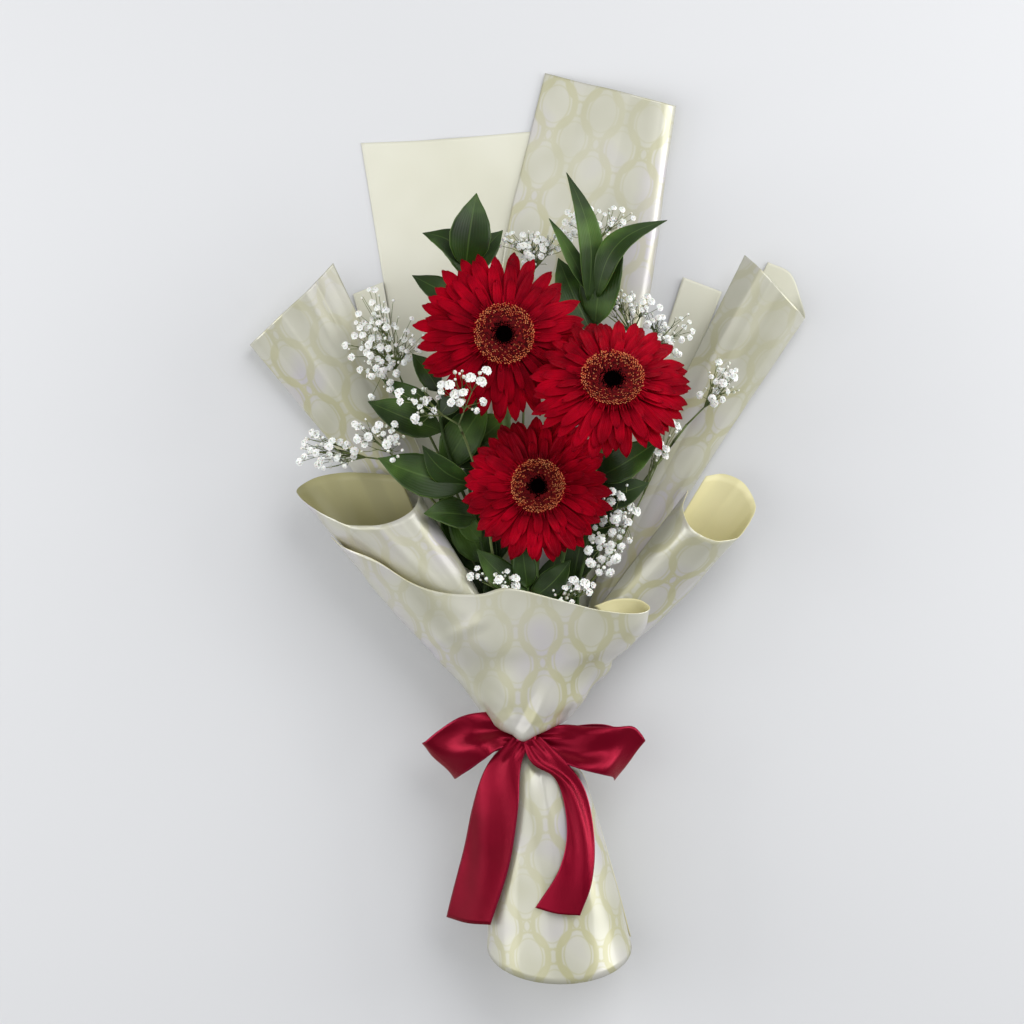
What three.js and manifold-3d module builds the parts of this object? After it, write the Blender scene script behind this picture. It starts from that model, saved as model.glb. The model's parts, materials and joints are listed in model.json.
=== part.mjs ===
// A florist's bouquet, laid on its back: three red gerberas with ruscus and baby's breath, a tie round
// their stems, sheets of two-faced wrapping film fanned and rolled round them, and a satin ribbon bow.
// Millimetres. +X is to the bouquet's right, +Y runs from the foot of the wrap to the flowers, and +Z
// points up from the table, the way the flowers face. The origin is under the middle of the bouquet.
import * as THREE from "three";
import { mergeVertices } from "three/addons/utils/BufferGeometryUtils.js";
import Module from "manifold-3d";

const wasm = await Module();
wasm.setup();

// ---- Driving dimensions ----
const FILM = 0.8; // thickness of a sheet of wrap, drawn heavier than the real film
const RIBBON = 0.8; // thickness of the ribbon
const LEAF = 0.7; // thickness of a leaf and of a petal
const WAIST = { x: 0, y: -138, z: 36 }; // centre of the tied waist
const TIE = { inner: 11.8, outer: 13.3, width: 10 }; // the tape round the stems
const INNER_LAYER = 14.2; // radius of the inner sheets where they pass the waist
const OUTER_LAYER = 15.4; // radius of the sheets outside those
const WRAP_LAYER = 17.35; // radius of the outermost sheet
const BAND = { inner: 19.1, outer: 20.5, width: 9 }; // the ribbon round the waist
const NECK_HALF = 6; // half the length over which the sheets are held straight by the tie
const WRAP_NECK_HALF = 4.6; // the same for the outermost sheet, which the ribbon holds
const GERBERA_REACH = 7.7; // how far the gerberas' stems reach from the middle of the bundle
const BUNDLE_REACH = 11.3; // how far the thinner stems round them reach
const SLOTS = 16; // thin stems round the bundle, numbered clockwise from the front
const GERBERA_STEM = 3; // radius
const RUSCUS_STEM = 1.5; // radius
const SPRAY_STEM = 1.2; // radius
const CUT_END = { x: 15, y: -258, z: 37, spread: 1.15 }; // where the stems are cut, inside the foot
const FLORET = 3.2; // radius of an open floret of baby's breath
const STALK = 0.5; // radius of the stalk it stands on
const CLEARANCE = 0.4; // gap kept between pieces that only lie together

const V = (x, y, z) => new THREE.Vector3(x, y, z);
const points = (list) => list.map((p) => V(...p));
const rad = THREE.MathUtils.degToRad;

// ---- Colours ----
const finish = (color, roughness, metalness = 0) =>
  new THREE.MeshStandardMaterial({ color, roughness, metalness });
const FINISH = {
  film: finish("#d3d1c4", 0.35, 0.15),
  cream: finish("#e6e2c2", 0.55),
  ribbon: finish("#a01034", 0.4),
  petal: finish("#b00418", 0.6),
  disc: finish("#5a1a10", 0.8),
  stem: finish("#6f8a45", 0.7),
  leaf: finish("#23431f", 0.45),
  spray: finish("#eef0e8", 0.8),
  tie: finish("#d8d5c8", 0.5),
};

// ---- Solids ----
const bouquet = new THREE.Group();
const placed = new Map(); // name of a finished piece -> its solid

function solidOf(geometry) {
  const bare = geometry.index ? geometry.toNonIndexed() : geometry.clone();
  bare.deleteAttribute("normal");
  bare.deleteAttribute("uv");
  const merged = mergeVertices(bare, 1e-4);
  return new wasm.Manifold(
    new wasm.Mesh({
      numProp: 3,
      vertProperties: merged.attributes.position.array,
      triVerts: new Uint32Array(merged.index.array),
    }),
  );
}

function geometryOf(solid) {
  const mesh = solid.getMesh();
  return new THREE.BufferGeometry()
    .setAttribute("position", new THREE.BufferAttribute(mesh.vertProperties, 3))
    .setIndex(new THREE.BufferAttribute(mesh.triVerts, 1));
}

const join = (solids) => wasm.Manifold.union(solids);

function place(name, solid, material) {
  const mesh = new THREE.Mesh(geometryOf(solid), material);
  mesh.name = name;
  bouquet.add(mesh);
  placed.set(name, solid);
}

// A thin plate on a grid of middle points: both faces are split into triangles alike.
function slab(grid, thickness) {
  const rows = grid.length;
  const columns = grid[0].length;
  const at = (i, j) =>
    grid[Math.min(Math.max(i, 0), rows - 1)][Math.min(Math.max(j, 0), columns - 1)];
  const position = [];
  for (const side of [0.5, -0.5])
    for (let i = 0; i < rows; i++)
      for (let j = 0; j < columns; j++) {
        const along = at(i + 1, j).clone().sub(at(i - 1, j));
        const across = at(i, j + 1).clone().sub(at(i, j - 1));
        const normal = across.cross(along).normalize();
        position.push(...at(i, j).clone().addScaledVector(normal, side * thickness).toArray());
      }
  const top = (i, j) => i * columns + j;
  const under = (i, j) => rows * columns + top(i, j);
  const index = [];
  const quad = (a, b, c, d) => index.push(a, b, c, a, c, d);
  for (let i = 0; i < rows - 1; i++)
    for (let j = 0; j < columns - 1; j++) {
      quad(top(i, j), top(i, j + 1), top(i + 1, j + 1), top(i + 1, j));
      index.push(under(i, j), under(i + 1, j + 1), under(i, j + 1));
      index.push(under(i, j), under(i + 1, j), under(i + 1, j + 1));
    }
  for (let j = 0; j < columns - 1; j++) {
    quad(top(0, j + 1), top(0, j), under(0, j), under(0, j + 1));
    quad(top(rows - 1, j), top(rows - 1, j + 1), under(rows - 1, j + 1), under(rows - 1, j));
  }
  for (let i = 0; i < rows - 1; i++) {
    quad(top(i, 0), top(i + 1, 0), under(i + 1, 0), under(i, 0));
    quad(top(i + 1, columns - 1), top(i, columns - 1), under(i, columns - 1), under(i + 1, columns - 1));
  }
  const geometry = new THREE.BufferGeometry()
    .setAttribute("position", new THREE.Float32BufferAttribute(position, 3))
    .setIndex(index);
  return solidOf(geometry);
}

const smooth = (list) => new THREE.CatmullRomCurve3(list);

// A sheet drawn through rows of points, each row running across it. steps[i] is how many strips lie
// between row i and the next; straight keeps those strips flat from row to row.
function sheet(rows, across, steps, straight = false) {
  const lines = rows.map((row) => smooth(row).getSpacedPoints(across));
  const grid = [];
  const total = rows.length - 1;
  for (let i = 0; i < total; i++)
    for (let k = 0; k < steps[i] + (i === total - 1 ? 1 : 0); k++) {
      const t = k / steps[i];
      grid.push(
        lines[0].map((_, j) =>
          straight
            ? lines[i][j].clone().lerp(lines[i + 1][j], t)
            : smooth(lines.map((line) => line[j])).getPoint((i + t) / total),
        ),
      );
    }
  return slab(grid, FILM);
}

// A closed skin over rings of points, each ring seen counter-clockwise from the far end.
function skin(rings) {
  const n = rings[0].length;
  const index = [];
  for (let k = 0; k < rings.length - 1; k++)
    for (let i = 0; i < n; i++) {
      const [a, b] = [k * n + i, k * n + ((i + 1) % n)];
      index.push(a, b, b + n, a, b + n, a + n);
    }
  const last = (rings.length - 1) * n;
  for (let i = 1; i < n - 1; i++) index.push(0, i + 1, i, last, last + i, last + i + 1);
  const places = new THREE.Float32BufferAttribute(rings.flat().flatMap((p) => p.toArray()), 3);
  return solidOf(new THREE.BufferGeometry().setAttribute("position", places).setIndex(index));
}

// A rod of a few sides through stations, each a point and the rod's radius there.
function rod(stations, sides) {
  const whole = stations.at(-1)[0].clone().sub(stations[0][0]).normalize();
  const reference = V(0, 0, 1).cross(whole).length() > 0.3 ? V(0, 0, 1) : V(1, 0, 0);
  const rings = stations.map(([at, radius], k) => {
    const ahead = stations[Math.min(k + 1, stations.length - 1)][0];
    const behind = stations[Math.max(k - 1, 0)][0];
    const along = ahead.clone().sub(behind).normalize();
    const side = reference.clone().cross(along).normalize();
    const up = along.clone().cross(side);
    return Array.from({ length: sides }, (_, i) => {
      const turn = (2 * Math.PI * (i + 0.5)) / sides;
      return at
        .clone()
        .addScaledVector(side, radius * Math.cos(turn))
        .addScaledVector(up, radius * Math.sin(turn));
    });
  });
  return skin(rings);
}

// ---- The wrap ----
// Part of an ellipse round the bouquet's length. Angles are in degrees: 0 is right, 90 is the front.
// lean pushes the front of the row towards the foot, and grow widens it from its start to its end.
function arc({ x = 0, y, z = WAIST.z, a, b = a, from, to, lean = 0, grow = 0 }) {
  return Array.from({ length: 25 }, (_, i) => {
    const t = i / 24;
    const angle = rad(from + (to - from) * t);
    const size = 1 + grow * (t - 0.5);
    return V(
      x + a * size * Math.cos(angle),
      y - lean * Math.sin(angle),
      z + b * size * Math.sin(angle),
    );
  });
}

// The two rows with which a sheet passes the tied waist.
const neck = (radius, from, to) =>
  [-NECK_HALF, NECK_HALF].map((dy) => arc({ y: WAIST.y + dy, a: radius, from, to }));

const OVERLAP = 0.087; // how much the outermost sheet winds outwards over itself at the waist
const outerRows = [
  arc({ x: 21.5, y: -274, z: 38.5, a: 47.5, b: 37.5, from: -30, to: 345, lean: 20, grow: 0.035 }),
  arc({ x: 16, y: -235, z: 36.6, a: 43, b: 35, from: -30, to: 345, lean: 6, grow: 0.035 }),
  arc({ x: 7, y: -180, z: 35.5, a: 38, b: 32, from: -30, to: 345, grow: 0.04 }),
  arc({ x: 3, y: -160, z: 36, a: 33, b: 28, from: -30, to: 345, grow: 0.045 }),
  arc({ x: 0, y: -150, a: 22.5, b: 22, from: -30, to: 345, grow: 0.06 }),
  ...[-WRAP_NECK_HALF, WRAP_NECK_HALF].map((dy) =>
    arc({ y: WAIST.y + dy, a: WRAP_LAYER, from: -30, to: 345, grow: OVERLAP }),
  ),
  arc({ x: 0.5, y: -125, z: 37, a: 27, b: 24.5, from: -30, to: 300, grow: 0.03 }),
  arc({ x: 1.4, y: -118, z: 37.5, a: 32.6, b: 27.9, from: -29, to: 264 }),
  arc({ x: 2.3, y: -112, z: 38, a: 38, b: 31, from: -28, to: 234 }),
  arc({ x: 1.8, y: -90, z: 38, a: 56, b: 38, from: 0, to: 192 }),
  points([
    [70, -78, 38], [72, -78, 50], [66, -78, 60], [52, -78, 67], [35, -78, 71.5], [10, -78, 74.5],
    [-15, -78, 75.5], [-35, -78, 73], [-51, -78, 65], [-61, -78, 52], [-65.5, -78, 36],
  ]),
  points([
    [64, -62, 60], [71, -62, 58.5], [76.5, -62, 62], [73, -63, 68], [62, -63, 72.5], [40, -62, 77],
    [15, -62, 79], [-10, -62, 79.5], [-35, -62, 78.5], [-55, -62, 73], [-70, -62, 60], [-78.5, -62, 44],
    [-80, -62, 33],
  ]),
  points([
    [43.3, -50, 62], [57, -45.6, 60], [73.2, -46.2, 61], [79.5, -51.2, 66], [72.8, -54.3, 72],
    [46.7, -52.2, 79], [20.9, -45.7, 82], [-14.5, -37.9, 83], [-30.6, -41.8, 82],
    [-56.4, -40.6, 80], [-74.5, -34.8, 78], [-98.7, -20.1, 71], [-119, -12, 60], [-128.5, -5.4, 40],
  ]),
];
place("wrap_outer", sheet(outerRows, 22, Array(13).fill(1)), FINISH.film);

// The left cornet: the side of the wrap rolled into an open horn.
const cornetLeft = [
  ...neck(OUTER_LAYER, 188, 95),
  points([
    [-21.2, -89.9, 24], [-34.4, -90, 22], [-44.3, -89.9, 24], [-49.4, -89.5, 34], [-47.3, -89, 46],
    [-38.6, -88.6, 56], [-27.5, -88.4, 62], [-16.5, -88.3, 64], [-8.7, -88.4, 62], [-7.4, -88.5, 58],
  ]),
  points([
    [-49.6, -44.4, 26], [-65.5, -47.2, 20], [-80, -51.1, 20], [-87.7, -50.9, 30], [-83.2, -50.5, 46],
    [-71.1, -48.8, 60], [-56.6, -47.3, 70], [-42.3, -44.6, 74], [-32.7, -40.8, 68], [-34.8, -39.9, 52],
  ]),
  points([
    [-83.6, 34.7, 34], [-116.8, 37.4, 26], [-141.8, 32.8, 26], [-151.1, 24.8, 36], [-137.7, 12.3, 54],
    [-114.9, 3.2, 68], [-92, 3.3, 76], [-75.9, 11, 74], [-70.4, 20.7, 62], [-73.4, 29.3, 46],
  ]),
];
place("wrap_cornet_left", sheet(cornetLeft, 16, [1, 2, 1, 2]), FINISH.film);

// The right cornet, smaller and rounder.
const cornetRight = [
  ...neck(OUTER_LAYER, -8, 85),
  points([
    [31.6, -89.9, 24], [41.5, -90.1, 20], [49.4, -89.9, 24], [52.4, -89.5, 34], [48.8, -89, 46],
    [40.8, -88.7, 54], [31, -88.5, 58], [22.5, -88.5, 60], [18, -88.5, 58],
  ]),
  points([
    [67.7, -45.6, 28], [79.9, -47.2, 20], [90.4, -49.8, 20], [98, -49.6, 28], [93.6, -50.7, 38],
    [81.5, -51.7, 47], [66.9, -52.2, 53], [55.1, -51.5, 55], [48.7, -48.4, 50],
  ]),
  points([
    [117.7, 34.7, 30], [130.4, 36, 26], [143.5, 29.4, 28], [148.6, 14.3, 40], [141.1, -0.7, 56],
    [123.3, -7.8, 70], [107.6, -1.3, 74], [101, 12.3, 64], [105.1, 25.4, 46],
  ]),
];
place("wrap_cornet_right", sheet(cornetRight, 15, [1, 2, 1, 2]), FINISH.film);

// The upper wings: sheets rolled forward over their own outer edge, open at the top.
const wingLeft = [
  ...neck(OUTER_LAYER, 228, 192),
  points([[-33, -90, 14], [-36, -90, 13.8], [-38.5, -90, 16], [-36, -90, 18.4], [-30, -90, 19.4]]),
  points([
    [-81.3, 15.7, 1.2], [-87.3, 11, 1.6], [-92.4, 11, 6], [-88.2, 13.7, 12], [-78.9, 17, 15],
    [-66.9, 20.3, 16], [-56.4, 24.2, 14],
  ]),
  points([
    [-157.9, 140.2, 1.2], [-176.5, 126.9, 1.8], [-183.8, 121.8, 10], [-174.9, 129.1, 24],
    [-159.9, 142.5, 33], [-142.7, 158.1, 35], [-127.9, 175.1, 27],
  ]),
];
place("wrap_wing_left", sheet(wingLeft, 10, [1, 1, 2, 2], true), FINISH.film);

const wingRight = [
  ...neck(OUTER_LAYER, 348, 305),
  points([
    [28, -90, 18.5], [34, -90, 18.5], [39, -90, 17], [41, -90, 15.5], [38, -90, 13.8], [33, -90, 13.8],
  ]),
  points([
    [62.9, 18.9, 14], [72, 17.6, 18], [82.6, 15.6, 18], [93.4, 13.7, 13], [99.7, 12.3, 6],
    [93.9, 11, 1.2], [85.3, 12.3, 0.6], [75.3, 13.7, 0.6],
  ]),
  points([
    [143.8, 180.7, 22], [154.4, 170.1, 32], [167.4, 155.5, 34], [177.9, 144.8, 26], [184.3, 139.6, 12],
    [182.4, 152.1, 2], [175.2, 170.2, 0.8], [160.5, 177.5, 0.8],
  ]),
];
place("wrap_wing_right", sheet(wingRight, 12, [1, 1, 2, 2], true), FINISH.film);

// The tall sheets at the back. The left one lies flat on the table, and the bouquet rests on it.
const backLeft = [
  ...neck(OUTER_LAYER, 232, 275),
  points([[-30, -90, 8], [-20, -90, 8], [-12, -90, 8], [-2, -90, 8]]),
  points([[-62, -41, 0.4], [-38.4, -41, 0.4], [-14.9, -41, 0.4], [8.7, -41, 0.4]]),
  points([[-110.6, 256.8, 0.4], [-64.6, 258.8, 0.4], [0, 264.1, 0.4], [25.3, 265.5, 0.4]]),
];
place("wrap_back_left", sheet(backLeft, 4, [1, 1, 1, 1], true), FINISH.cream);

const backRight = [
  ...neck(INNER_LAYER, 262, 312),
  points([[-14, -90, 13], [-4, -90, 12.5], [6, -90, 12.5], [15, -90, 12]]),
  points([
    [-20, -20.9, 3], [-8, -20.9, 5], [5.3, -20.9, 7], [18.6, -20.9, 8], [29.8, -20.9, 8],
    [37.9, -20.9, 5], [35.3, -21, 1.5], [28.6, -21, 0.5], [22, -21, 0.4],
  ]),
  points([
    [-25.3, 152.1, 2], [2, 149.9, 7], [35.1, 148.2, 12], [61.5, 148.1, 15], [76.1, 148.1, 14],
    [83.6, 148.5, 8], [78.5, 148.8, 2], [68.6, 148.9, 0.6], [55.3, 148.9, 0.6],
  ]),
  points([
    [12, 303.2, 2], [35.2, 296.6, 8], [58.3, 290.7, 13], [78, 285, 16], [91.3, 281.8, 15],
    [98.9, 280.6, 8.5], [93.9, 282.6, 2], [81.9, 286.1, 0.6], [68.6, 289.4, 0.6],
  ]),
];
place("wrap_back_right", sheet(backRight, 12, [1, 1, 1, 2, 2], true), FINISH.film);

// Narrow cream sheets that fill the gaps between the wings and the back.
const linerLeft = [
  ...neck(INNER_LAYER, 205, 238),
  points([[-28, -90, 10.8], [-23.5, -90, 10.8], [-19, -90, 10.8]]),
  points([[-76.6, 12.3, 2], [-72.6, 12.3, 2], [-68.6, 12.3, 2]]),
  points([[-115.8, 156.1, 2], [-105.8, 160.1, 2], [-95.9, 164.1, 2]]),
];
place("wrap_liner_left", sheet(linerLeft, 3, [1, 1, 1, 1], true), FINISH.cream);

const linerRight = [
  ...neck(INNER_LAYER, 318, 345),
  points([[18, -90, 11], [22.5, -90, 11], [27, -90, 11]]),
  points([[53.9, 12.3, 2], [63.2, 12.3, 2], [72.5, 12.3, 2]]),
  points([[103.8, 167.4, 2], [116.8, 162.5, 2], [129.8, 157.5, 2]]),
];
place("wrap_liner_right", sheet(linerRight, 3, [1, 1, 1, 1], true), FINISH.cream);

// ---- The tie and the ribbon ----
// A ring round the waist, its axis along Y.
function ring({ inner, outer, width }, sides) {
  const profile = [
    [inner, -width / 2],
    [outer, -width / 2],
    [outer, width / 2],
    [inner, width / 2],
    [inner, -width / 2],
  ].map((p) => new THREE.Vector2(...p));
  const geometry = new THREE.LatheGeometry(profile, sides);
  geometry.translate(WAIST.x, WAIST.y, WAIST.z);
  return solidOf(geometry);
}
place("stem_tie", ring(TIE, 20), FINISH.tie);

// A length of ribbon through stations of points across it.
function ribbonStrip(stations, steps) {
  const count = stations[0].length;
  const rails = Array.from({ length: count }, (_, j) => smooth(stations.map((s) => V(...s[j]))));
  const grid = Array.from({ length: steps + 1 }, (_, i) =>
    rails.map((rail) => rail.getPoint(i / steps)),
  );
  return slab(grid, RIBBON);
}

// A station of a loop: its middle, and half its width as a vector towards the flowers.
const across = ([x, y, z], [u, v, w]) => [
  [x + u, y + v, z + w],
  [x, y, z],
  [x - u, y - v, z - w],
];

const loopLeft = [
  across([-3, -139.5, 61], [0, 4, 0]),
  across([-19, -139, 57.5], [-1, 6, -3]),
  across([-36, -138, 54], [-9, 13, -4]),
  across([-56, -152.5, 47], [-11, 11.8, 0]),
  across([-57.5, -153.5, 42], [-11, 11.8, 0]),
  across([-43, -146, 38], [-9, 12, 2]),
  across([-27, -141, 45], [-3, 7, 0]),
  across([-3, -139.5, 59.5], [0, 4, 0]),
];
const loopRight = [
  across([3, -139.5, 61], [0, 4, 0]),
  across([20, -140, 58], [1, 6, -2]),
  across([38, -144, 56], [4, 12, -2]),
  across([56, -147, 54], [8, 15, 0]),
  across([66, -151, 49], [12.5, 12.5, 0]),
  across([66, -150, 42], [11.5, 12, 3]),
  across([49, -142.5, 38], [6, 13, 3]),
  across([28, -140, 45], [2, 7, 0]),
  across([3, -139.5, 59.5], [0, 4, 0]),
];
const tailLeft = [
  [[0, -140, 62], [-4, -141, 62.5], [-8, -142, 61]],
  [[-4, -156, 66], [-11, -157, 66], [-19, -156, 62]],
  [[-7, -185, 69], [-17, -186, 65.5], [-28, -184, 57]],
  [[-12, -220, 66.5], [-26, -221, 58], [-41, -219, 45]],
  [[-21, -258, 59.5], [-38, -259, 49], [-54, -258, 34]],
];
const tailRight = [
  [[6, -139, 61], [2, -141, 62.5], [-2, -143, 62]],
  [[22, -148, 63], [14, -150, 66], [6, -152, 67]],
  [[37, -169, 57], [28, -167, 64], [18, -161, 68]],
  [[43.6, -201, 59], [35, -199, 66], [25.4, -194, 71]],
  [[41, -230, 68], [31, -226, 73], [21, -219, 75.5]],
  [[34, -248.5, 75], [18, -247, 77], [2, -243.5, 75.5]],
];
const knot = new THREE.SphereGeometry(1, 10, 6).scale(7, 8, 4.2).translate(-0.5, -140, 60.3);
place(
  "satin_ribbon",
  join([
    ring(BAND, 24),
    solidOf(knot),
    ribbonStrip(loopLeft, 10),
    ribbonStrip(loopRight, 12),
    ribbonStrip(tailLeft, 7),
    ribbonStrip(tailRight, 9),
  ]),
  FINISH.ribbon,
);

// ---- Stems ----
// Every stem runs from its cut end in the foot through its own place in the bundle and on to its top.
function stemPath(distance, slot, rest) {
  const angle = Math.PI / 2 - (2 * Math.PI * slot) / SLOTS;
  const x = distance * Math.cos(angle);
  const z = distance * Math.sin(angle);
  return [
    V(CUT_END.x + x * CUT_END.spread, CUT_END.y, CUT_END.z + z * CUT_END.spread),
    V(CUT_END.x * 0.35 + x * 1.05, -190, WAIST.z + z * 1.05),
    V(x, WAIST.y - 8, WAIST.z + z),
    V(x, WAIST.y + 8, WAIST.z + z),
    ...points(rest),
  ];
}

// A stem's skin: straight below the waist, and in two steps from point to point above it.
function stem(path, radius, sides) {
  const curve = smooth(path);
  const spans = path.length - 1;
  const places = [0, 1, 2];
  for (let u = 3; u <= spans; u += 0.5) places.push(u);
  return rod(places.map((u) => [curve.getPoint(u / spans), radius]), sides);
}

// ---- Gerberas ----
// Heights within a head are measured from the middle of its receptacle, which the rays grow from.
const CALYX_TOP = -4.4;
const DISC = { under: 3, around: 24 };
const WHORLS = [
  { count: 20, length: 1, base: 16, seat: -4, from: -4, to: -2.2, turn: 0, rise: 4.5, droop: 9 },
  { count: 20, length: 0.93, base: 15, seat: -2.2, from: -1.4, to: 0.2, turn: 0.5, rise: 5, droop: 8 },
  { count: 12, length: 0.68, base: 14, seat: 0.2, from: 1, to: 2.6, turn: 0.2, rise: 2.2, droop: 2.6 },
];
const RAY_WIDTHS = [[0.7, 1], [1, 0.26]]; // place along a ray, share of its half width

const heads = [
  { name: "gerbera_1", at: [-15.8, 124.1, 100], faces: [0.12, 0.1, 1], radius: 57, slot: 11,
    path: [[-9, 0, 52], [-14.5, 80, 64], [-17, 112, 78]] },
  { name: "gerbera_2", at: [53.3, 92.6, 124], faces: [0.04, 0.5, 0.88], radius: 53, slot: 6,
    path: [[22, -20, 46], [40, 30, 52], [50, 62, 68]] },
  { name: "gerbera_3", at: [6.7, 27.1, 86], faces: [-0.02, 0.12, 1], radius: 49, slot: 0,
    path: [[2, -70, 50], [6, -5, 56], [7, 18, 62]] },
];

// A repeatable number from 0 to 1 for the i-th thing of a kind.
const chance = (i, kind) => {
  const n = Math.sin(i * 12.9898 + kind * 78.233) * 43758.5453;
  return n - Math.floor(n);
};

// The outer sections of a ray: each is its two lower corners and its two upper ones.
function raySections(whorl, i, headRadius, seed) {
  const wobble = chance(i, seed);
  const reach = headRadius * whorl.length * (0.95 + 0.07 * wobble) - whorl.base;
  const turn = (2 * Math.PI * (i + whorl.turn + 0.16 * (wobble - 0.5))) / whorl.count;
  const half = Math.min(5.6, (0.93 * Math.PI * (whorl.base + 0.7 * reach)) / Math.max(whorl.count, 18));
  const tilt = rad(6);
  const side = V(-Math.sin(turn) * Math.cos(tilt), Math.cos(turn) * Math.cos(tilt), Math.sin(tilt));
  return RAY_WIDTHS.map(([t, share]) => {
    const z = (whorl.from + whorl.to) / 2 + whorl.rise * t - whorl.droop * t * t;
    const r = whorl.base + reach * t;
    const [x, y] = [r * Math.cos(turn), r * Math.sin(turn)];
    const corner = (across, up) => V(x, y, z + up * LEAF / 2).addScaledVector(side, across * half * share);
    return [corner(-1, -1), corner(1, -1), corner(1, 1), corner(-1, 1)];
  });
}

// A whorl of rays as one skin: a low drum whose wall is the roots of the rays, on a seat.
function whorlBody(whorl, headRadius, seed) {
  const { count, base, seat, from, to } = whorl;
  const position = [];
  const index = [];
  const add = (p) => position.push(...p.toArray()) / 3 - 1;
  const quad = (a, b, c, d) => index.push(a, b, c, a, c, d);
  const wall = Array.from({ length: count }, (_, i) => {
    const turn = (2 * Math.PI * (i - 0.5 + whorl.turn)) / count;
    const at = (r, z) => add(V(r * Math.cos(turn), r * Math.sin(turn), z));
    return { seat: at(base - 1.5, seat), low: at(base, from), high: at(base, to) };
  });
  const [top, under] = [add(V(0, 0, to)), add(V(0, 0, seat))];
  wall.forEach((here, i) => {
    const next = wall[(i + 1) % count];
    index.push(top, here.high, next.high, under, next.seat, here.seat);
    quad(here.seat, next.seat, next.low, here.low);
    let inner = [here.low, next.low, next.high, here.high];
    for (const section of raySections(whorl, i, headRadius, seed)) {
      const outer = section.map(add);
      for (let k = 0; k < 4; k++) quad(inner[k], inner[(k + 1) % 4], outer[(k + 1) % 4], outer[k]);
      inner = outer;
    }
    quad(...inner);
  });
  return solidOf(
    new THREE.BufferGeometry()
      .setAttribute("position", new THREE.Float32BufferAttribute(position, 3))
      .setIndex(index),
  );
}

// The disc: rings of raised florets round a low dark eye, as one relief.
function disc() {
  const { around } = DISC;
  const rings = [[20, 0.4], [18.8, 3.2], [15.4, 3.7], [11.8, 3.5], [8, 2.2], [4.2, 2.8]];
  const position = [];
  rings.forEach(([r, h], k) => {
    for (let i = 0; i < around; i++) {
      const turn = (2 * Math.PI * (i + 0.5 * k)) / around;
      const raised = k > 0 && k < 4 ? (i % 2 ? 0.7 : -0.5) : 0;
      position.push(r * Math.cos(turn), r * Math.sin(turn), DISC.under + h + raised);
    }
  });
  const top = position.length / 3;
  position.push(0, 0, DISC.under + 3.6, 0, 0, DISC.under);
  for (let i = 0; i < around; i++) {
    const turn = (2 * Math.PI * i) / around;
    position.push(19.2 * Math.cos(turn), 19.2 * Math.sin(turn), DISC.under);
  }
  const base = top + 2;
  const index = [];
  const next = (i) => (i + 1) % around;
  for (let k = 0; k < rings.length - 1; k++)
    for (let i = 0; i < around; i++) {
      const [a, b] = [k * around + i, k * around + next(i)];
      const [c, d] = [a + around, b + around];
      index.push(a, b, c, b, d, c);
    }
  const last = (rings.length - 1) * around;
  for (let i = 0; i < around; i++) {
    index.push(last + i, last + next(i), top);
    index.push(base + next(i), base + i, top + 1);
    index.push(base + i, base + next(i), next(i), base + i, next(i), i);
  }
  return solidOf(
    new THREE.BufferGeometry()
      .setAttribute("position", new THREE.Float32BufferAttribute(position, 3))
      .setIndex(index),
  );
}

// The green cup of bracts under a head.
function calyx() {
  const rim = CALYX_TOP;
  const profile = [[0, -17], [4.4, -14], [9.5, -9], [12.8, rim], [0, rim]];
  const cup = new THREE.LatheGeometry(profile.map((p) => new THREE.Vector2(...p)), 12);
  return solidOf(cup.rotateX(Math.PI / 2));
}

for (const [n, head] of heads.entries()) {
  const faces = V(...head.faces).normalize();
  const turn = new THREE.Quaternion().setFromUnitVectors(V(0, 0, 1), faces);
  const matrix = new THREE.Matrix4().compose(V(...head.at), turn, V(1, 1, 1));
  const set = (solid) => solid.transform(matrix.toArray());
  const neckEnd = V(0, 0, -15).applyMatrix4(matrix);
  const neckStart = V(0, 0, -24).applyMatrix4(matrix);
  const path = [...stemPath(GERBERA_REACH - GERBERA_STEM, head.slot, head.path), neckStart, neckEnd];
  const rays = WHORLS.map((whorl, w) => whorlBody(whorl, head.radius, 10 * (n + 1) + w));
  place(`${head.name}_stem`, join([stem(path, GERBERA_STEM, 6), set(calyx())]), FINISH.stem);
  place(`${head.name}_rays`, set(join(rays)), FINISH.petal);
  place(`${head.name}_disc`, set(disc()), FINISH.disc);
}

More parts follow.
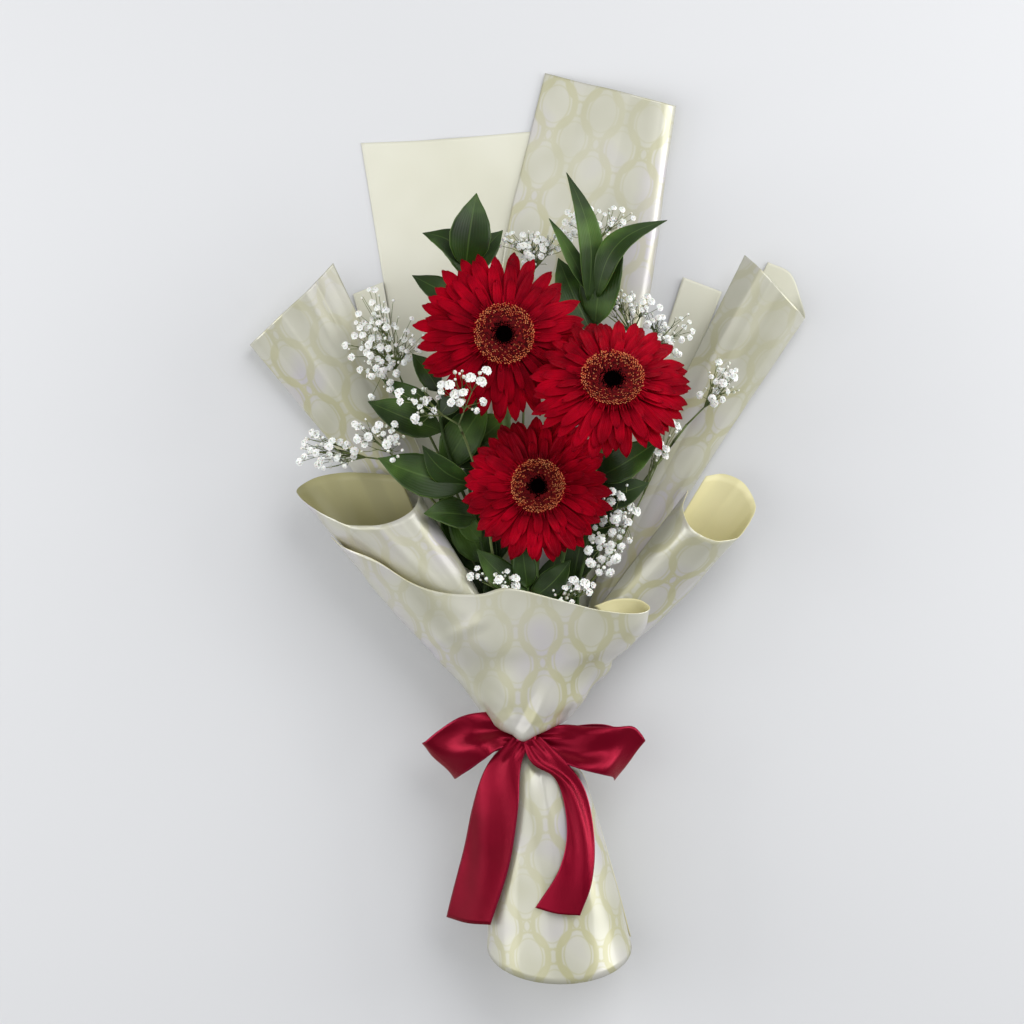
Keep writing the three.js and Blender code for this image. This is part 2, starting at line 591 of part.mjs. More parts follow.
// ---- Ruscus ----
// Each leaf: where it leaves its stem, its tip, half its width, its roll in degrees, and its arch.
const ruscus = [
  { name: "ruscus_1", slot: 9, path: [[-18, -40, 24], [-36, 90, 44], [-39, 150, 62], [-38, 172, 68]],
    leaves: [
      [[-38, 171, 68], [-32, 215, 74], 11, -15, 4],
      [[-38, 168, 67], [-64, 190, 62], 8.5, 30, 4],
      [[-38, 164, 66], [-18, 193, 60], 8.5, -30, 4],
      [[-38, 146, 61], [-74, 164, 56], 8, 20, 4],
    ] },
  { name: "ruscus_2", slot: 6, path: [[22, -30, 26], [36, 70, 40], [42, 125, 62], [42, 152, 74]],
    leaves: [
      [[42, 151, 74], [28.7, 227.6, 84], 8, 20, 7],
      [[42, 146, 72], [14, 200, 68], 7.5, 35, 5],
      [[42, 149, 74], [87, 198, 82], 8, -15, 9],
      [[42, 143, 71], [63, 188, 72], 10, -20, 4],
      [[41, 136, 68], [18, 176, 58], 10, 30, 4],
    ] },
  { name: "ruscus_3", slot: 11, path: [[-22, -30, 38], [-46, 34, 46], [-56, 66, 50], [-58, 92, 54]],
    leaves: [
      [[-56, 64, 50], [-104, 82, 52], 10, 20, 5],
      [[-58, 90, 54], [-75, 114, 60], 7, 20, 3],
      [[-57, 78, 52], [-95, 97, 46], 5, 10, 4],
      [[-57, 74, 52], [-38, 92, 56], 6, -20, 3],
    ] },
  { name: "ruscus_4", slot: 13, path: [[-12, -70, 48], [-26, -25, 52], [-35, 10, 58], [-38, 30, 62]],
    leaves: [
      [[-38, 28, 62], [-96, 44, 60], 12.5, 15, 6],
      [[-35, 8, 58], [-67, 9, 78], 9, 25, 3],
      [[-38, 30, 62], [-68, 53, 74], 7.5, -20, 4],
      [[-31, -8, 55], [-45, 12, 58], 5, 10, 2],
    ] },
  { name: "ruscus_5", slot: 2, path: [[22, -70, 50], [36, -25, 57], [42, 12, 60], [45, 34, 62]],
    leaves: [
      [[45, 33, 62], [86, 58, 76], 10, -20, 5],
      [[43, 20, 60.7], [78, 28, 62], 8.5, -10, 4],
      [[39.3, -6, 58.7], [58, 12, 56], 6, -10, 3],
    ] },
  { name: "ruscus_6", slot: 0, path: [[5, -90, 57], [4, -55, 63], [0, -38, 68]],
    leaves: [
      [[1, -40, 67], [-32, -14, 66], 8, 15, 3],
      [[2, -44, 66], [27, -22, 64], 7, -15, 3],
      [[0, -38, 68], [-4, -10, 72], 6.5, 0, 2],
    ] },
];

// A leaf: a pointed blade, arched along its length and folded a little along its midrib.
function leafBlade([from, to, half, roll, arch]) {
  const [a, b] = [V(...from), V(...to)];
  const along = b.clone().sub(a);
  const length = along.length();
  along.normalize();
  const side = V(0, 0, 1).cross(along).normalize().applyAxisAngle(along, rad(roll));
  const up = along.clone().cross(side).normalize();
  const outline = [[0, 0.16], [0.25, 0.86], [0.58, 0.92], [1, 0.06]];
  const grid = outline.map(([t, share]) => {
    const middle = a.clone().addScaledVector(along, length * t);
    middle.addScaledVector(up, arch * Math.sin(Math.PI * t));
    const lift = 0.28 * half * share;
    const w = half * share;
    return [-1, 0, 1].map((s) =>
      middle.clone().addScaledVector(side, s * w).addScaledVector(up, s ? lift : 0),
    );
  });
  return slab(grid, LEAF);
}

for (const branch of ruscus) {
  const path = stemPath(BUNDLE_REACH - RUSCUS_STEM, branch.slot, branch.path);
  const solids = [stem(path, RUSCUS_STEM, 5), ...branch.leaves.map(leafBlade)];
  place(branch.name, join(solids), FINISH.leaf);
}

// ---- Baby's breath ----
// Each spray: its place in the bundle, its path, and clouds as centre, reach and count of branchlets.
const sprays = [
  { name: "babys_breath_1", slot: 8, path: [[-4, -40, 18], [-2, 90, 32], [2, 158, 48]],
    clouds: [[[5, 181, 60], [22, 13, 9], 5]] },
  { name: "babys_breath_2", slot: 7, path: [[14, -40, 22], [24, 90, 30], [40, 173, 44]],
    clouds: [[[44, 198, 56], [19, 13, 9], 5]] },
  { name: "babys_breath_3", slot: 5, path: [[34, -20, 30], [62, 60, 40], [76, 112, 50]],
    clouds: [[[68, 141, 66], [20, 11, 9], 3], [[93, 126, 62], [13, 18, 9], 3]] },
  { name: "babys_breath_4", slot: 4, path: [[34, -40, 36], [66, 16, 40], [104, 68, 50]],
    clouds: [[[128, 93, 62], [15, 13, 9], 4]] },
  { name: "babys_breath_5", slot: 10, path: [[-26, -30, 28], [-54, 40, 30], [-80, 92, 44]],
    clouds: [[[-93, 122, 54], [20, 26, 10], 6]] },
  { name: "babys_breath_6", slot: 12, path: [[-20, -60, 38], [-48, 0, 40], [-84, 44, 44]],
    clouds: [[[-134, 50, 58], [20, 15, 8], 4], [[-98, 58, 68], [14, 13, 5], 2]] },
  { name: "babys_breath_7", slot: 14,
    path: [[-10, -70, 52], [-22, -20, 60], [-28, 20, 68], [-38, 52, 74], [-44, 67, 92]],
    clouds: [[[-70, 82, 88], [12, 11, 6], 2], [[-42, 88, 113], [18, 12, 4], 3]] },
  { name: "babys_breath_8", slot: 15, path: [[-2, -88, 56], [-3, -70, 66]],
    clouds: [[[-20, -33, 74], [11, 10, 5], 3], [[33, -38, 71], [13, 12, 5], 3]] },
  { name: "babys_breath_9", slot: 3, path: [[24, -60, 40], [50, -24, 46], [62, -6, 54]],
    clouds: [[[60, 8, 68], [12, 24, 6], 5], [[91, 58, 62], [11, 10, 6], 2]] },
];

// The i-th point of an even, repeatable scatter through a ball of radius 1, more of it near the skin.
function scatter(i) {
  const [u, v, w] = [0.8191725134, 0.6710436067, 0.5497004779].map((g) => (0.5 + g * (i + 1)) % 1);
  const polar = Math.acos(1 - 2 * u);
  const turn = 2 * Math.PI * v;
  const r = 0.55 + 0.45 * w;
  return V(r * Math.sin(polar) * Math.cos(turn), r * Math.sin(polar) * Math.sin(turn), r * Math.cos(polar));
}

const boxesMeet = (a, b, gap) =>
  [0, 1, 2].every((k) => a.min[k] - gap < b.max[k] && b.min[k] - gap < a.max[k]);
const isClear = (solid, gap = CLEARANCE) => {
  const box = solid.boundingBox();
  return [...placed.values()].every(
    (other) => !boxesMeet(box, other.boundingBox(), gap) || solid.minGap(other, gap) >= gap,
  );
};

// A branchlet of florets, threaded on a stalk from its foot through the middle of each.
function branchlet(foot, middles) {
  const stations = [[foot, STALK]];
  let before = foot;
  for (const middle of middles) {
    const step = middle.clone().sub(before).setLength(0.8 * FLORET);
    stations.push([middle.clone().sub(step), STALK], [middle, FLORET], [middle.clone().add(step), STALK]);
    before = middle;
  }
  return rod(stations, 4);
}

// A spray forks from its stem's top to each cloud, and there to branchlets of two or three florets. A
// branchlet that would touch another piece, or another branchlet, is left out.
for (const spray of sprays) {
  const path = stemPath(BUNDLE_REACH - SPRAY_STEM, spray.slot, spray.path);
  const top = path.at(-1);
  const wood = [stem(path, SPRAY_STEM, 4)];
  const florets = [];
  for (const [centre, reach, count] of spray.clouds) {
    const middle = V(...centre);
    const hub = top.clone().lerp(middle, 0.8);
    wood.push(rod([[top, 1], [hub, 0.8]], 4));
    for (let i = 0, made = 0; made < count && i < 8 * count; i++) {
      const out = scatter(i).multiply(V(...reach));
      const middles = [out.clone().multiplyScalar(0.5).add(middle)];
      for (let k = 1; k < 2 + (i % 2); k++) {
        const step = scatter(60 + 2 * i + k).multiplyScalar(2.2).add(out.clone().normalize());
        middles.push(middles[k - 1].clone().add(step.setLength(2.7 * FLORET)));
      }
      const one = branchlet(hub.clone().lerp(top, (0.8 * made) / count), middles);
      if (!isClear(one) || florets.some((other) => one.minGap(other, 0.2) < 0.2)) continue;
      florets.push(one);
      made += 1;
    }
  }
  place(spray.name, join([...wood, ...florets]), FINISH.spray);
}

// The origin is put under the middle of the bouquet.
const bounds = new THREE.Box3().setFromObject(bouquet);
const middle = bounds.getCenter(V(0, 0, 0));
bouquet.position.set(-middle.x, -middle.y, -bounds.min.z);

export default bouquet;
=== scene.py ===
# %% [markdown]
# # A wrapped gerbera bouquet
# A florist's bouquet lies on its back on a pale floor, and the camera looks straight down on it. The
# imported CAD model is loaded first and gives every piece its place. Nearly all of it is soft or
# living stuff, so each CAD solid gets a finer piece that stands for it: film, ribbon, petals, leaves.

# %% Load the frame
import json
import math
import random

import bmesh
import bpy
import numpy as np
from mathutils import Matrix, Vector
from mathutils.bvhtree import BVHTree

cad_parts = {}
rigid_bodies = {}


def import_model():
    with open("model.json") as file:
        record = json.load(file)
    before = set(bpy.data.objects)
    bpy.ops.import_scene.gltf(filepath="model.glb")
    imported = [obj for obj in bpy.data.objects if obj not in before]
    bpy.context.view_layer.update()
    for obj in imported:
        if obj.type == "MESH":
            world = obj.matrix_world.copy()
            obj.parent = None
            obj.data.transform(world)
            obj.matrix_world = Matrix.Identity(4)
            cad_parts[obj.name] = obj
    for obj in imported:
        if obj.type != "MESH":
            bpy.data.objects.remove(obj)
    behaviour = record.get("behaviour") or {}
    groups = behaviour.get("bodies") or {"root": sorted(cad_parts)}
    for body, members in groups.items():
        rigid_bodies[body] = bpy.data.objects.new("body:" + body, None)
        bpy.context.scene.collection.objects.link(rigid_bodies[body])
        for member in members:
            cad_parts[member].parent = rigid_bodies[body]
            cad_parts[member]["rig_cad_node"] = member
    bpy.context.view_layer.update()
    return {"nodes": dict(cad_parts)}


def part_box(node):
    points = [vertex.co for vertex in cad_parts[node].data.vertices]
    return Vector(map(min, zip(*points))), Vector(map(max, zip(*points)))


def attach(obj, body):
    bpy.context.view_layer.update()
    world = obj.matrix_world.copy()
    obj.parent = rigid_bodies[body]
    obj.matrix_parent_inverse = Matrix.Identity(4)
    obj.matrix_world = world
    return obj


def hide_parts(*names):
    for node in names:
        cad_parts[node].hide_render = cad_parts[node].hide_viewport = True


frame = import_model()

# %% [markdown]
# ## One drawing, two frames
# The CAD part was drawn in millimetres and then shifted so that its origin is under its middle. The
# tie round the stems is a plain ring, so its box shows where the drawing's waist point went. All
# points below are the drawing's own, in millimetres, and one function brings them into the frame.

# %% From the drawing to the frame
MM = 0.001
WAIST = Vector((0, -138, 36))  # centre of the tied waist in the drawing
tie_low, tie_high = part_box("stem_tie")
SHIFT = (tie_low + tie_high) / 2 - WAIST * MM
TO_FRAME = Matrix.Translation(SHIFT) @ Matrix.Scale(MM, 4)  # the same step, for a bmesh


def to_frame(points):
    """Points of the drawing, in millimetres, as an array of places in the frame, in metres."""
    return np.asarray(points, float) * MM + np.array(SHIFT)


print("drawing to frame, mm:", [round(1000 * v, 2) for v in SHIFT])

# %% [markdown]
# ## Smooth curves through a few points
# Film, ribbon, leaves and stems all follow curves through a few chosen points. A centripetal
# Catmull-Rom curve passes through every point and makes no loops, even where they are close
# together. It is the curve that the CAD part uses, so the fine pieces lie where the solids do.


# %% Curves
def curve(points, places):
    """Points at the given places of a smooth curve; place 2.5 is halfway from the third point on."""
    p = np.asarray(points, float)
    ends = np.concatenate([[2 * p[0] - p[1]], p, [2 * p[-1] - p[-2]]])
    places = np.clip(np.asarray(places, float), 0, len(p) - 1)
    i = np.minimum(places.astype(int), len(p) - 2)
    t = (places - i).reshape([-1] + [1] * (p.ndim - 1))
    a, b, c, d = (ends[i + k] for k in range(4))
    s, e, f = (np.sqrt(np.linalg.norm(v - u, axis=-1, keepdims=True)) + 1e-9
               for u, v in ((a, b), (b, c), (c, d)))
    out_b = ((b - a) / s - (c - a) / (s + e) + (c - b) / e) * e
    in_c = ((c - b) / e - (d - b) / (e + f) + (d - c) / f) * e
    cubic = 2 * b - 2 * c + out_b + in_c
    square = -3 * b + 3 * c - 2 * out_b - in_c
    return b + out_b * t + square * t**2 + cubic * t**3


def spaced(points, count):
    """count points, evenly spaced along the smooth curve through points."""
    places = np.linspace(0, len(points) - 1, 400)
    fine = curve(points, places)
    run = np.concatenate([[0], np.cumsum(np.linalg.norm(np.diff(fine, axis=0), axis=1))])
    return curve(points, np.interp(np.linspace(0, run[-1], count), run, places))


def softened(lines, rounds=3):
    """Rows with their corners cut, so that a fold between straight stretches turns softly."""
    for _ in range(rounds):
        near, far = lines[:-1], lines[1:]
        cut = np.stack([0.75 * near + 0.25 * far, 0.25 * near + 0.75 * far], axis=1)
        lines = np.concatenate([lines[:1], cut.reshape(-1, *lines.shape[1:]), lines[-1:]])
    return lines


print("a quarter circle's middle:", np.round(curve([[1, 0, 0], [0, 1, 0], [-1, 0, 0]], [0.5])[0], 2))

# %% [markdown]
# ## From a grid to a piece
# A sheet, a petal and a leaf are all one thing to Blender: a flat grid that is moved onto its curved
# place. create_grid makes the faces and a UV map, and the code only moves its points. A Solidify
# modifier then gives the paper or petal its thickness, equally to both sides.


# %% Grids and pieces
def new_mesh():
    """An empty bmesh with a UV map."""
    bm = bmesh.new()
    bm.loops.layers.uv.new("UVMap")
    return bm


def lay_grid(bm, points):
    """Adds a grid whose points go to the given rows of places, and gives back its faces."""
    rows, columns = len(points), len(points[0])
    made = bmesh.ops.create_grid(
        bm, x_segments=columns - 1, y_segments=rows - 1, size=1, calc_uvs=True
    )["verts"]
    for v in made:
        j = round((v.co.x + 1) / 2 * (columns - 1))
        i = round((v.co.y + 1) / 2 * (rows - 1))
        v.co = points[i][j]
    return {f for v in made for f in v.link_faces}


# %% Meshes, objects and pieces
def as_mesh(bm, name, materials=()):
    """The finished mesh of a bmesh, which is then let go."""
    mesh = bpy.data.meshes.new(name)
    bm.to_mesh(mesh)
    bm.free()
    for material in materials:
        mesh.materials.append(material)
    return mesh


def in_scene(name, data):
    """A new object in the scene for a mesh, a lamp or a camera."""
    made = bpy.data.objects.new(name, data)
    bpy.context.scene.collection.objects.link(made)
    return made


def finish_piece(bm, name, stands_for, materials, thickness=0, inner=0):
    """Makes the mesh a piece that rides on the root and stands for its CAD node."""
    mesh = as_mesh(bm, name, materials)
    mesh.shade_smooth()
    made = in_scene(name, mesh)
    if thickness:
        wall = made.modifiers.new("thickness", "SOLIDIFY")
        wall.thickness, wall.offset = thickness * MM, 0
        wall.material_offset = inner
    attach(made, "root")
    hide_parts(*stands_for)
    print(f"{name}: {len(mesh.polygons)} faces")
    return made


# %% [markdown]
# ## Materials
# Colours are given as sRGB hex, as they would be picked from a photograph, and turned to the linear
# values that Blender works in. One function fills a node's inputs with values or links, and one adds a
# node with its settings. No real skin, paper or petal is one flat colour, so a third lays blotches of
# near colours on a piece; noise in the piece's own coordinates does that without a seam.


# %% Colours and nodes
def colour(code):
    """An sRGB hex colour as linear red, green, blue and alpha."""
    parts = [int(code[i : i + 2], 16) / 255 for i in (1, 3, 5)]
    return [c / 12.92 if c <= 0.04045 else ((c + 0.055) / 1.055) ** 2.4 for c in parts] + [1]


def fill(node, *shown, **named):
    """Fills a node's inputs, from the top as it shows them or by name, with values or sockets to link."""
    pairs = [*zip((s for s in node.inputs if s.enabled), shown)]
    pairs += [(node.inputs[name.replace("_", " ")], value) for name, value in named.items()]
    for socket, value in pairs:
        if isinstance(value, bpy.types.NodeSocket):
            node.id_data.links.new(value, socket)
        else:
            socket.default_value = colour(value) if isinstance(value, str) else value


def add(tree, kind, *shown, stops=(), out=None, **named):
    """Adds a shader node and gives back an output; names in small letters are the node's settings."""
    made = tree.nodes.new("ShaderNode" + kind)
    for setting in [name for name in named if name.islower()]:
        setattr(made, setting, named.pop(setting))
    if stops:
        ramp = made.color_ramp.elements
        while len(ramp) < len(stops):
            ramp.new(0.5)
        for stop, (position, code) in zip(ramp, stops):
            stop.position, stop.color = position, colour(code)
    fill(made, *shown, **named)
    return made.outputs[out] if out else next(s for s in made.outputs if s.enabled)


# %% New finishes
def new_finish(name, **shader):
    """A material, its node tree and its shader, whose inputs are filled by name."""
    material = bpy.data.materials.new(name)
    material.use_nodes = True
    surface = material.node_tree.nodes["Principled BSDF"]
    fill(surface, **shader)
    print("finish:", name)
    return material, material.node_tree, surface


def mottle(tree, scale, detail, *stops):
    """Blotches of noise that stay in place on a piece: a number, or colours where stops are given."""
    here = add(tree, "TexCoord", out="Object")
    blotch = add(tree, "TexNoise", Vector=here, Scale=scale, Detail=detail)
    return add(tree, "ValToRGB", blotch, stops=stops) if stops else blotch


def mottled(name, scale, detail, *stops, **shader):
    """A plain finish, whose colour is such blotches."""
    material, tree, surface = new_finish(name, **shader)
    fill(surface, Base_Color=mottle(tree, scale, detail, *stops))
    return material


print("mid grey #808080 is", round(colour("#808080")[0], 3), "of white's light")


# %% [markdown]
# ## The wrapping film
# Florists' two-faced film: its outside has a pearly silver ground printed with pale yellow-green
# strokes, and its inside is plain cream. The print here is a traditional one of linked ovals, drawn
# with thick sides and thin tops as a broad pen does. It is worked out from the UV map, which holds
# the flat sheet's own millimetres, so the strokes run on round each fold as print does. Repeating a
# place is its fraction after a division, and an oval is where the stretched distance to a point is 1.

# %% Printed outside of the film
REPEAT = (33, 42)  # how often the print repeats across and along the sheet, mm
ASKEW = math.radians(6)  # how far the print is turned on the sheet
FACETS = (20, 9, 1)  # facets to a metre of crumpled film, across and along the sheet
OVALS = [  # an oval's place in the repeat, its half width and half height, and half its stroke, mm
    ((0.0, 0.0), (13.0, 17.0), 2.1),
    ((0.5, 0.5), (12.4, 16.2), 1.7),
    ((0.5, 0.0), (3.4, 4.6), 0.9),
    ((0.0, 0.5), (2.6, 3.4), 0.8),
    ((0.0, 0.0), (9.4, 12.8), 0.4),
    ((0.5, 0.5), (8.9, 12.2), 0.4),
]
# Pearl lacquer on film: a broad soft shine with a sharper one over it, on grey that turns lilac.
film_print, tree, surface = new_finish(
    "pearl_film_printed", Metallic=0.26, Roughness=0.38, Coat_Weight=0.6, Coat_Roughness=0.16
)
flat_place = add(tree, "UVMap", uv_map="UVMap")
turned = add(tree, "Mapping", flat_place, Rotation=(0, 0, ASKEW))
repeats = add(tree, "VectorMath", turned, (REPEAT[0] * MM, REPEAT[1] * MM, 1), operation="DIVIDE")
ink = None
for (right, up), (half_wide, half_high), stroke in OVALS:
    moved = add(tree, "VectorMath", repeats, (right + 0.5, up + 0.5, 0), operation="ADD")
    cell = add(tree, "VectorMath", moved, operation="FRACTION")
    centred = add(tree, "VectorMath", cell, (0.5, 0.5, 0), operation="SUBTRACT")
    stretch = (REPEAT[0] / half_wide, REPEAT[1] / half_high, 0)
    round_place = add(tree, "VectorMath", centred, stretch, operation="MULTIPLY")
    away = add(tree, "VectorMath", round_place, operation="LENGTH")
    heading = add(tree, "VectorMath", round_place, operation="NORMALIZE")
    side = add(tree, "SeparateXYZ", add(tree, "VectorMath", heading, operation="ABSOLUTE"))
    width = add(tree, "MapRange", side, 0, 1, 0.25 * stroke, stroke)
    off = add(tree, "Math", away, half_wide, -half_wide, operation="MULTIPLY_ADD")
    gap = add(tree, "Math", width, add(tree, "Math", off, operation="ABSOLUTE"), operation="SUBTRACT")
    band = add(tree, "MapRange", gap, -0.5, 0.5)
    ink = band if ink is None else add(tree, "Math", ink, band, operation="MAXIMUM")
ground = mottle(tree, 18, 2, (0.3, "#b9b8a3"), (0.5, "#c6c5b6"), (0.7, "#c1bdc1"))
printed = mottle(tree, 18, 2, (0.3, "#b0ad82"), (0.7, "#bbb88f"))
strength = add(tree, "MapRange", mottle(tree, 9, 1), 0.38, 0.62, 0.3, 0.85)
faded = add(tree, "Math", ink, strength, operation="MULTIPLY")
face = add(tree, "Mix", faded, ground, printed, data_type="RGBA")
crumple = add(tree, "Mapping", flat_place, Scale=FACETS)
facets = add(tree, "TexVoronoi", Vector=crumple, Scale=1, Detail=1)
bump = add(tree, "Bump", Height=facets, Strength=0.5, Distance=1.6 * MM)
fill(surface, Base_Color=face, Normal=bump)
print(f"print: {len(OVALS)} ovals to {REPEAT[0]} x {REPEAT[1]} mm, {len(tree.nodes)} nodes")


# %% Plain insides of the film
RIPPLES = (22, 7, 1)  # ripples to a metre of film, across and along the sheet


def plain_film(name, dull, bright):
    """The unprinted side of the film in the colour of one sheet."""
    # Bare film: matt, with a weak wide shine that shows its creases.
    made, tree, surface = new_finish(name, Roughness=0.5, Coat_Weight=0.1, Coat_Roughness=0.3)
    crumple = add(tree, "Mapping", add(tree, "UVMap", uv_map="UVMap"), Scale=RIPPLES)
    ripple = add(tree, "TexNoise", Vector=crumple, Scale=1, Detail=3)
    bump = add(tree, "Bump", Height=ripple, Strength=0.5, Distance=2 * MM)
    fill(surface, Base_Color=mottle(tree, 14, 2, (0.35, dull), (0.65, bright)), Normal=bump)
    return made


film_cream = plain_film("pearl_film_cream", "#d3d2bf", "#dddccc")
film_butter = plain_film("pearl_film_butter", "#d6cf9c", "#e0d9a8")
# The left cornet's inside: a darker olive copy of the cream film, painted shade for its shaded mouth.
film_olive_painted_shade = plain_film("pearl_film_olive_painted_shade", "#9d986c", "#b0ab7c")

# %% [markdown]
# ## Sheets of film
# Each sheet of the wrap is drawn by rows of points that cross it, from the tied waist outwards, as
# the CAD part draws them. The outermost sheet also runs down to the foot. Its front hangs over the
# knot in a sharp point, so the rows there lean towards the foot, and most of all in the middle.


# %% A row round the bouquet
def arc(x=0, y=0, z=WAIST.z, a=0, b=None, start=0, end=0, lean=0, grow=0, pointed=False):
    """Part of an ellipse round the bouquet's length; 0 degrees is right and 90 is the front."""
    t = np.linspace(0, 1, 25)
    angle = np.radians(start + (end - start) * t)
    size = 1 + grow * (t - 0.5)
    b = a if b is None else b
    front = (1 - np.abs(np.cos(angle))) * (np.sin(angle) > 0) if pointed else np.sin(angle)
    return np.column_stack([x + a * size * np.cos(angle), y - lean * front, z + b * size * np.sin(angle)])


def neck(radius, start, end, half=6):
    """The two rows with which a sheet passes the waist."""
    return [arc(y=WAIST.y + dy, a=radius, start=start, end=end) for dy in (-half, half)]


# %% The outermost sheet's rows
OUTER_LAYER, INNER_LAYER, WRAP_LAYER = 15.4, 14.2, 17.35  # radii of the sheets at the waist
OVERLAP = 0.087  # how much the outermost sheet winds outwards over itself there
BAND_HALF = 4.6  # half the width of the ribbon's band round the waist, mm
outer_rows = [
    *[arc(x, y, z, a, b, -30, 345, lean, grow) for x, y, z, a, b, lean, grow in (
        (21.5, -274, 38.5, 47.5, 37.5, 20, 0.035),
        (17, -235, 36.6, 42.5, 35, 6, 0.035),
        (9, -180, 35.5, 34.5, 31, 0, 0.04),
        (6.5, -160, 36, 29.5, 27, 0, 0.045),
        (0, -150, WAIST.z, 22.5, 22, 0, 0.06),
        (0, WAIST.y - BAND_HALF, WAIST.z, WRAP_LAYER, WRAP_LAYER, 0, OVERLAP),
        (0, WAIST.y + BAND_HALF, WAIST.z, WRAP_LAYER, WRAP_LAYER, 0, OVERLAP))],
    arc(x=-0.5, y=-124.5, z=37, a=27.5, b=28.5, start=-30, end=300, grow=0.03, lean=11, pointed=True),
    arc(x=0.5, y=-118, z=37.5, a=32, b=31, start=-29, end=264, lean=8, pointed=True),
    arc(x=1, y=-112, z=38, a=36.6, b=32.5, start=-28, end=234, lean=5, pointed=True),
    arc(x=0.6, y=-90, z=38, a=55, b=36, start=8, end=192),
    [[52, -77, 47], [60, -77, 45], [65.5, -77, 49], [65.8, -77, 57], [60, -77, 64.5], [49, -78, 70],
     [34, -78, 73], [10, -78, 76], [-15, -78, 76.5], [-35, -78, 73.5], [-51, -78, 65], [-61, -78, 52],
     [-65.5, -78, 36]],
    [[54, -60, 60], [66, -60, 56.5], [75, -61, 57], [77.5, -61.5, 62], [74, -62.5, 68], [62, -63, 73],
     [40, -62, 77], [15, -62, 79], [-10, -62, 79.5], [-35, -62, 78.5], [-55, -62, 73], [-70, -62, 60],
     [-78.5, -62, 44], [-80, -62, 33]],
    [[43.3, -50, 62], [57, -45.6, 60], [73.2, -46.2, 61], [79.5, -51.2, 66], [72.8, -54.3, 72],
     [46.7, -52.2, 79], [20.9, -45.7, 82], [-14.5, -37.9, 83], [-30.6, -41.8, 82],
     [-56.4, -40.6, 80], [-74.5, -34.8, 78], [-98.7, -20.1, 71], [-119, -12, 60], [-128.5, -5.4, 40]],
]
print("rows across the outermost sheet:", len(outer_rows))

# %% The other sheets' rows
cornet_left = [
    *neck(OUTER_LAYER, 188, 95),
    [[-21.2, -89.9, 24], [-34.4, -90, 22], [-44.3, -89.9, 24], [-49.4, -89.5, 34], [-47.3, -89, 46],
     [-38.6, -88.6, 56], [-27.5, -88.4, 62], [-16.5, -88.3, 64], [-8.7, -88.4, 62], [-7.4, -88.5, 58]],
    [[-49.6, -44.4, 26], [-65.5, -47.2, 20], [-80, -51.1, 20], [-87.7, -50.9, 30], [-83.2, -50.5, 46],
     [-71.1, -48.8, 60], [-56.6, -47.3, 70], [-42.3, -44.6, 74], [-32.7, -40.8, 68], [-34.8, -39.9, 52]],
    [[-83.6, 34.7, 34], [-116.8, 37.4, 26], [-141.8, 32.8, 26], [-151.1, 24.8, 36], [-137.7, 12.3, 54],
     [-114.9, 3.2, 68], [-92, 3.3, 76], [-75.9, 11, 74], [-70.4, 20.7, 62], [-73.4, 29.3, 46]],
]
cornet_right = [
    *neck(OUTER_LAYER, -8, 85),
    [[31.6, -89.9, 24], [41.5, -90.1, 20], [49.4, -89.9, 24], [52.4, -89.5, 34], [48.8, -89, 46],
     [40.8, -88.7, 54], [31, -88.5, 58], [22.5, -88.5, 60], [18, -88.5, 58]],
    [[67.7, -45.6, 28], [79.9, -47.2, 20], [90.4, -49.8, 20], [98, -49.6, 28], [93.6, -50.7, 38],
     [81.5, -51.7, 47], [66.9, -52.2, 53], [55.1, -51.5, 55], [48.7, -48.4, 50]],
    [[117.7, 34.7, 30], [130.4, 36, 26], [143.5, 29.4, 28], [148.6, 14.3, 40], [141.1, -0.7, 56],
     [123.3, -7.8, 70], [107.6, -1.3, 74], [101, 12.3, 64], [105.1, 25.4, 46]],
]
wing_left = [
    *neck(OUTER_LAYER, 228, 192),
    [[-33, -90, 14], [-36, -90, 13.8], [-38.5, -90, 16], [-36, -90, 18.4], [-30, -90, 19.4]],
    [[-81.3, 15.7, 1.2], [-87.3, 11, 1.6], [-92.4, 11, 6], [-88.2, 13.7, 12], [-78.9, 17, 15],
     [-66.9, 20.3, 16], [-56.4, 24.2, 14]],
    [[-157.9, 140.2, 1.2], [-176.5, 126.9, 1.8], [-183.8, 121.8, 10], [-174.9, 129.1, 24],
     [-159.9, 142.5, 33], [-142.7, 158.1, 35], [-127.9, 175.1, 27]],
]
wing_right = [
    *neck(OUTER_LAYER, 348, 305),
    [[28, -90, 18.5], [34, -90, 18.5], [39, -90, 17], [41, -90, 15.5], [38, -90, 13.8], [33, -90, 13.8]],
    [[62.9, 18.9, 14], [72, 17.6, 18], [82.6, 15.6, 18], [93.4, 13.7, 13], [99.7, 12.3, 6],
     [93.9, 11, 1.2], [85.3, 12.3, 0.6], [75.3, 13.7, 0.6]],
    [[143.8, 180.7, 22], [154.4, 170.1, 32], [167.4, 155.5, 34], [177.9, 144.8, 26], [184.3, 139.6, 12],
     [182.4, 152.1, 2], [175.2, 170.2, 0.8], [160.5, 177.5, 0.8]],
]
back_left = [
    *neck(OUTER_LAYER, 232, 275),
    [[-30, -90, 8], [-20, -90, 8], [-12, -90, 8], [-2, -90, 8]],
    [[-62, -41, 0.4], [-38.4, -41, 0.4], [-14.9, -41, 0.4], [8.7, -41, 0.4]],
    [[-110.6, 256.8, 0.4], [-64.6, 258.8, 0.4], [0, 264.1, 0.4], [25.3, 265.5, 0.4]],
]
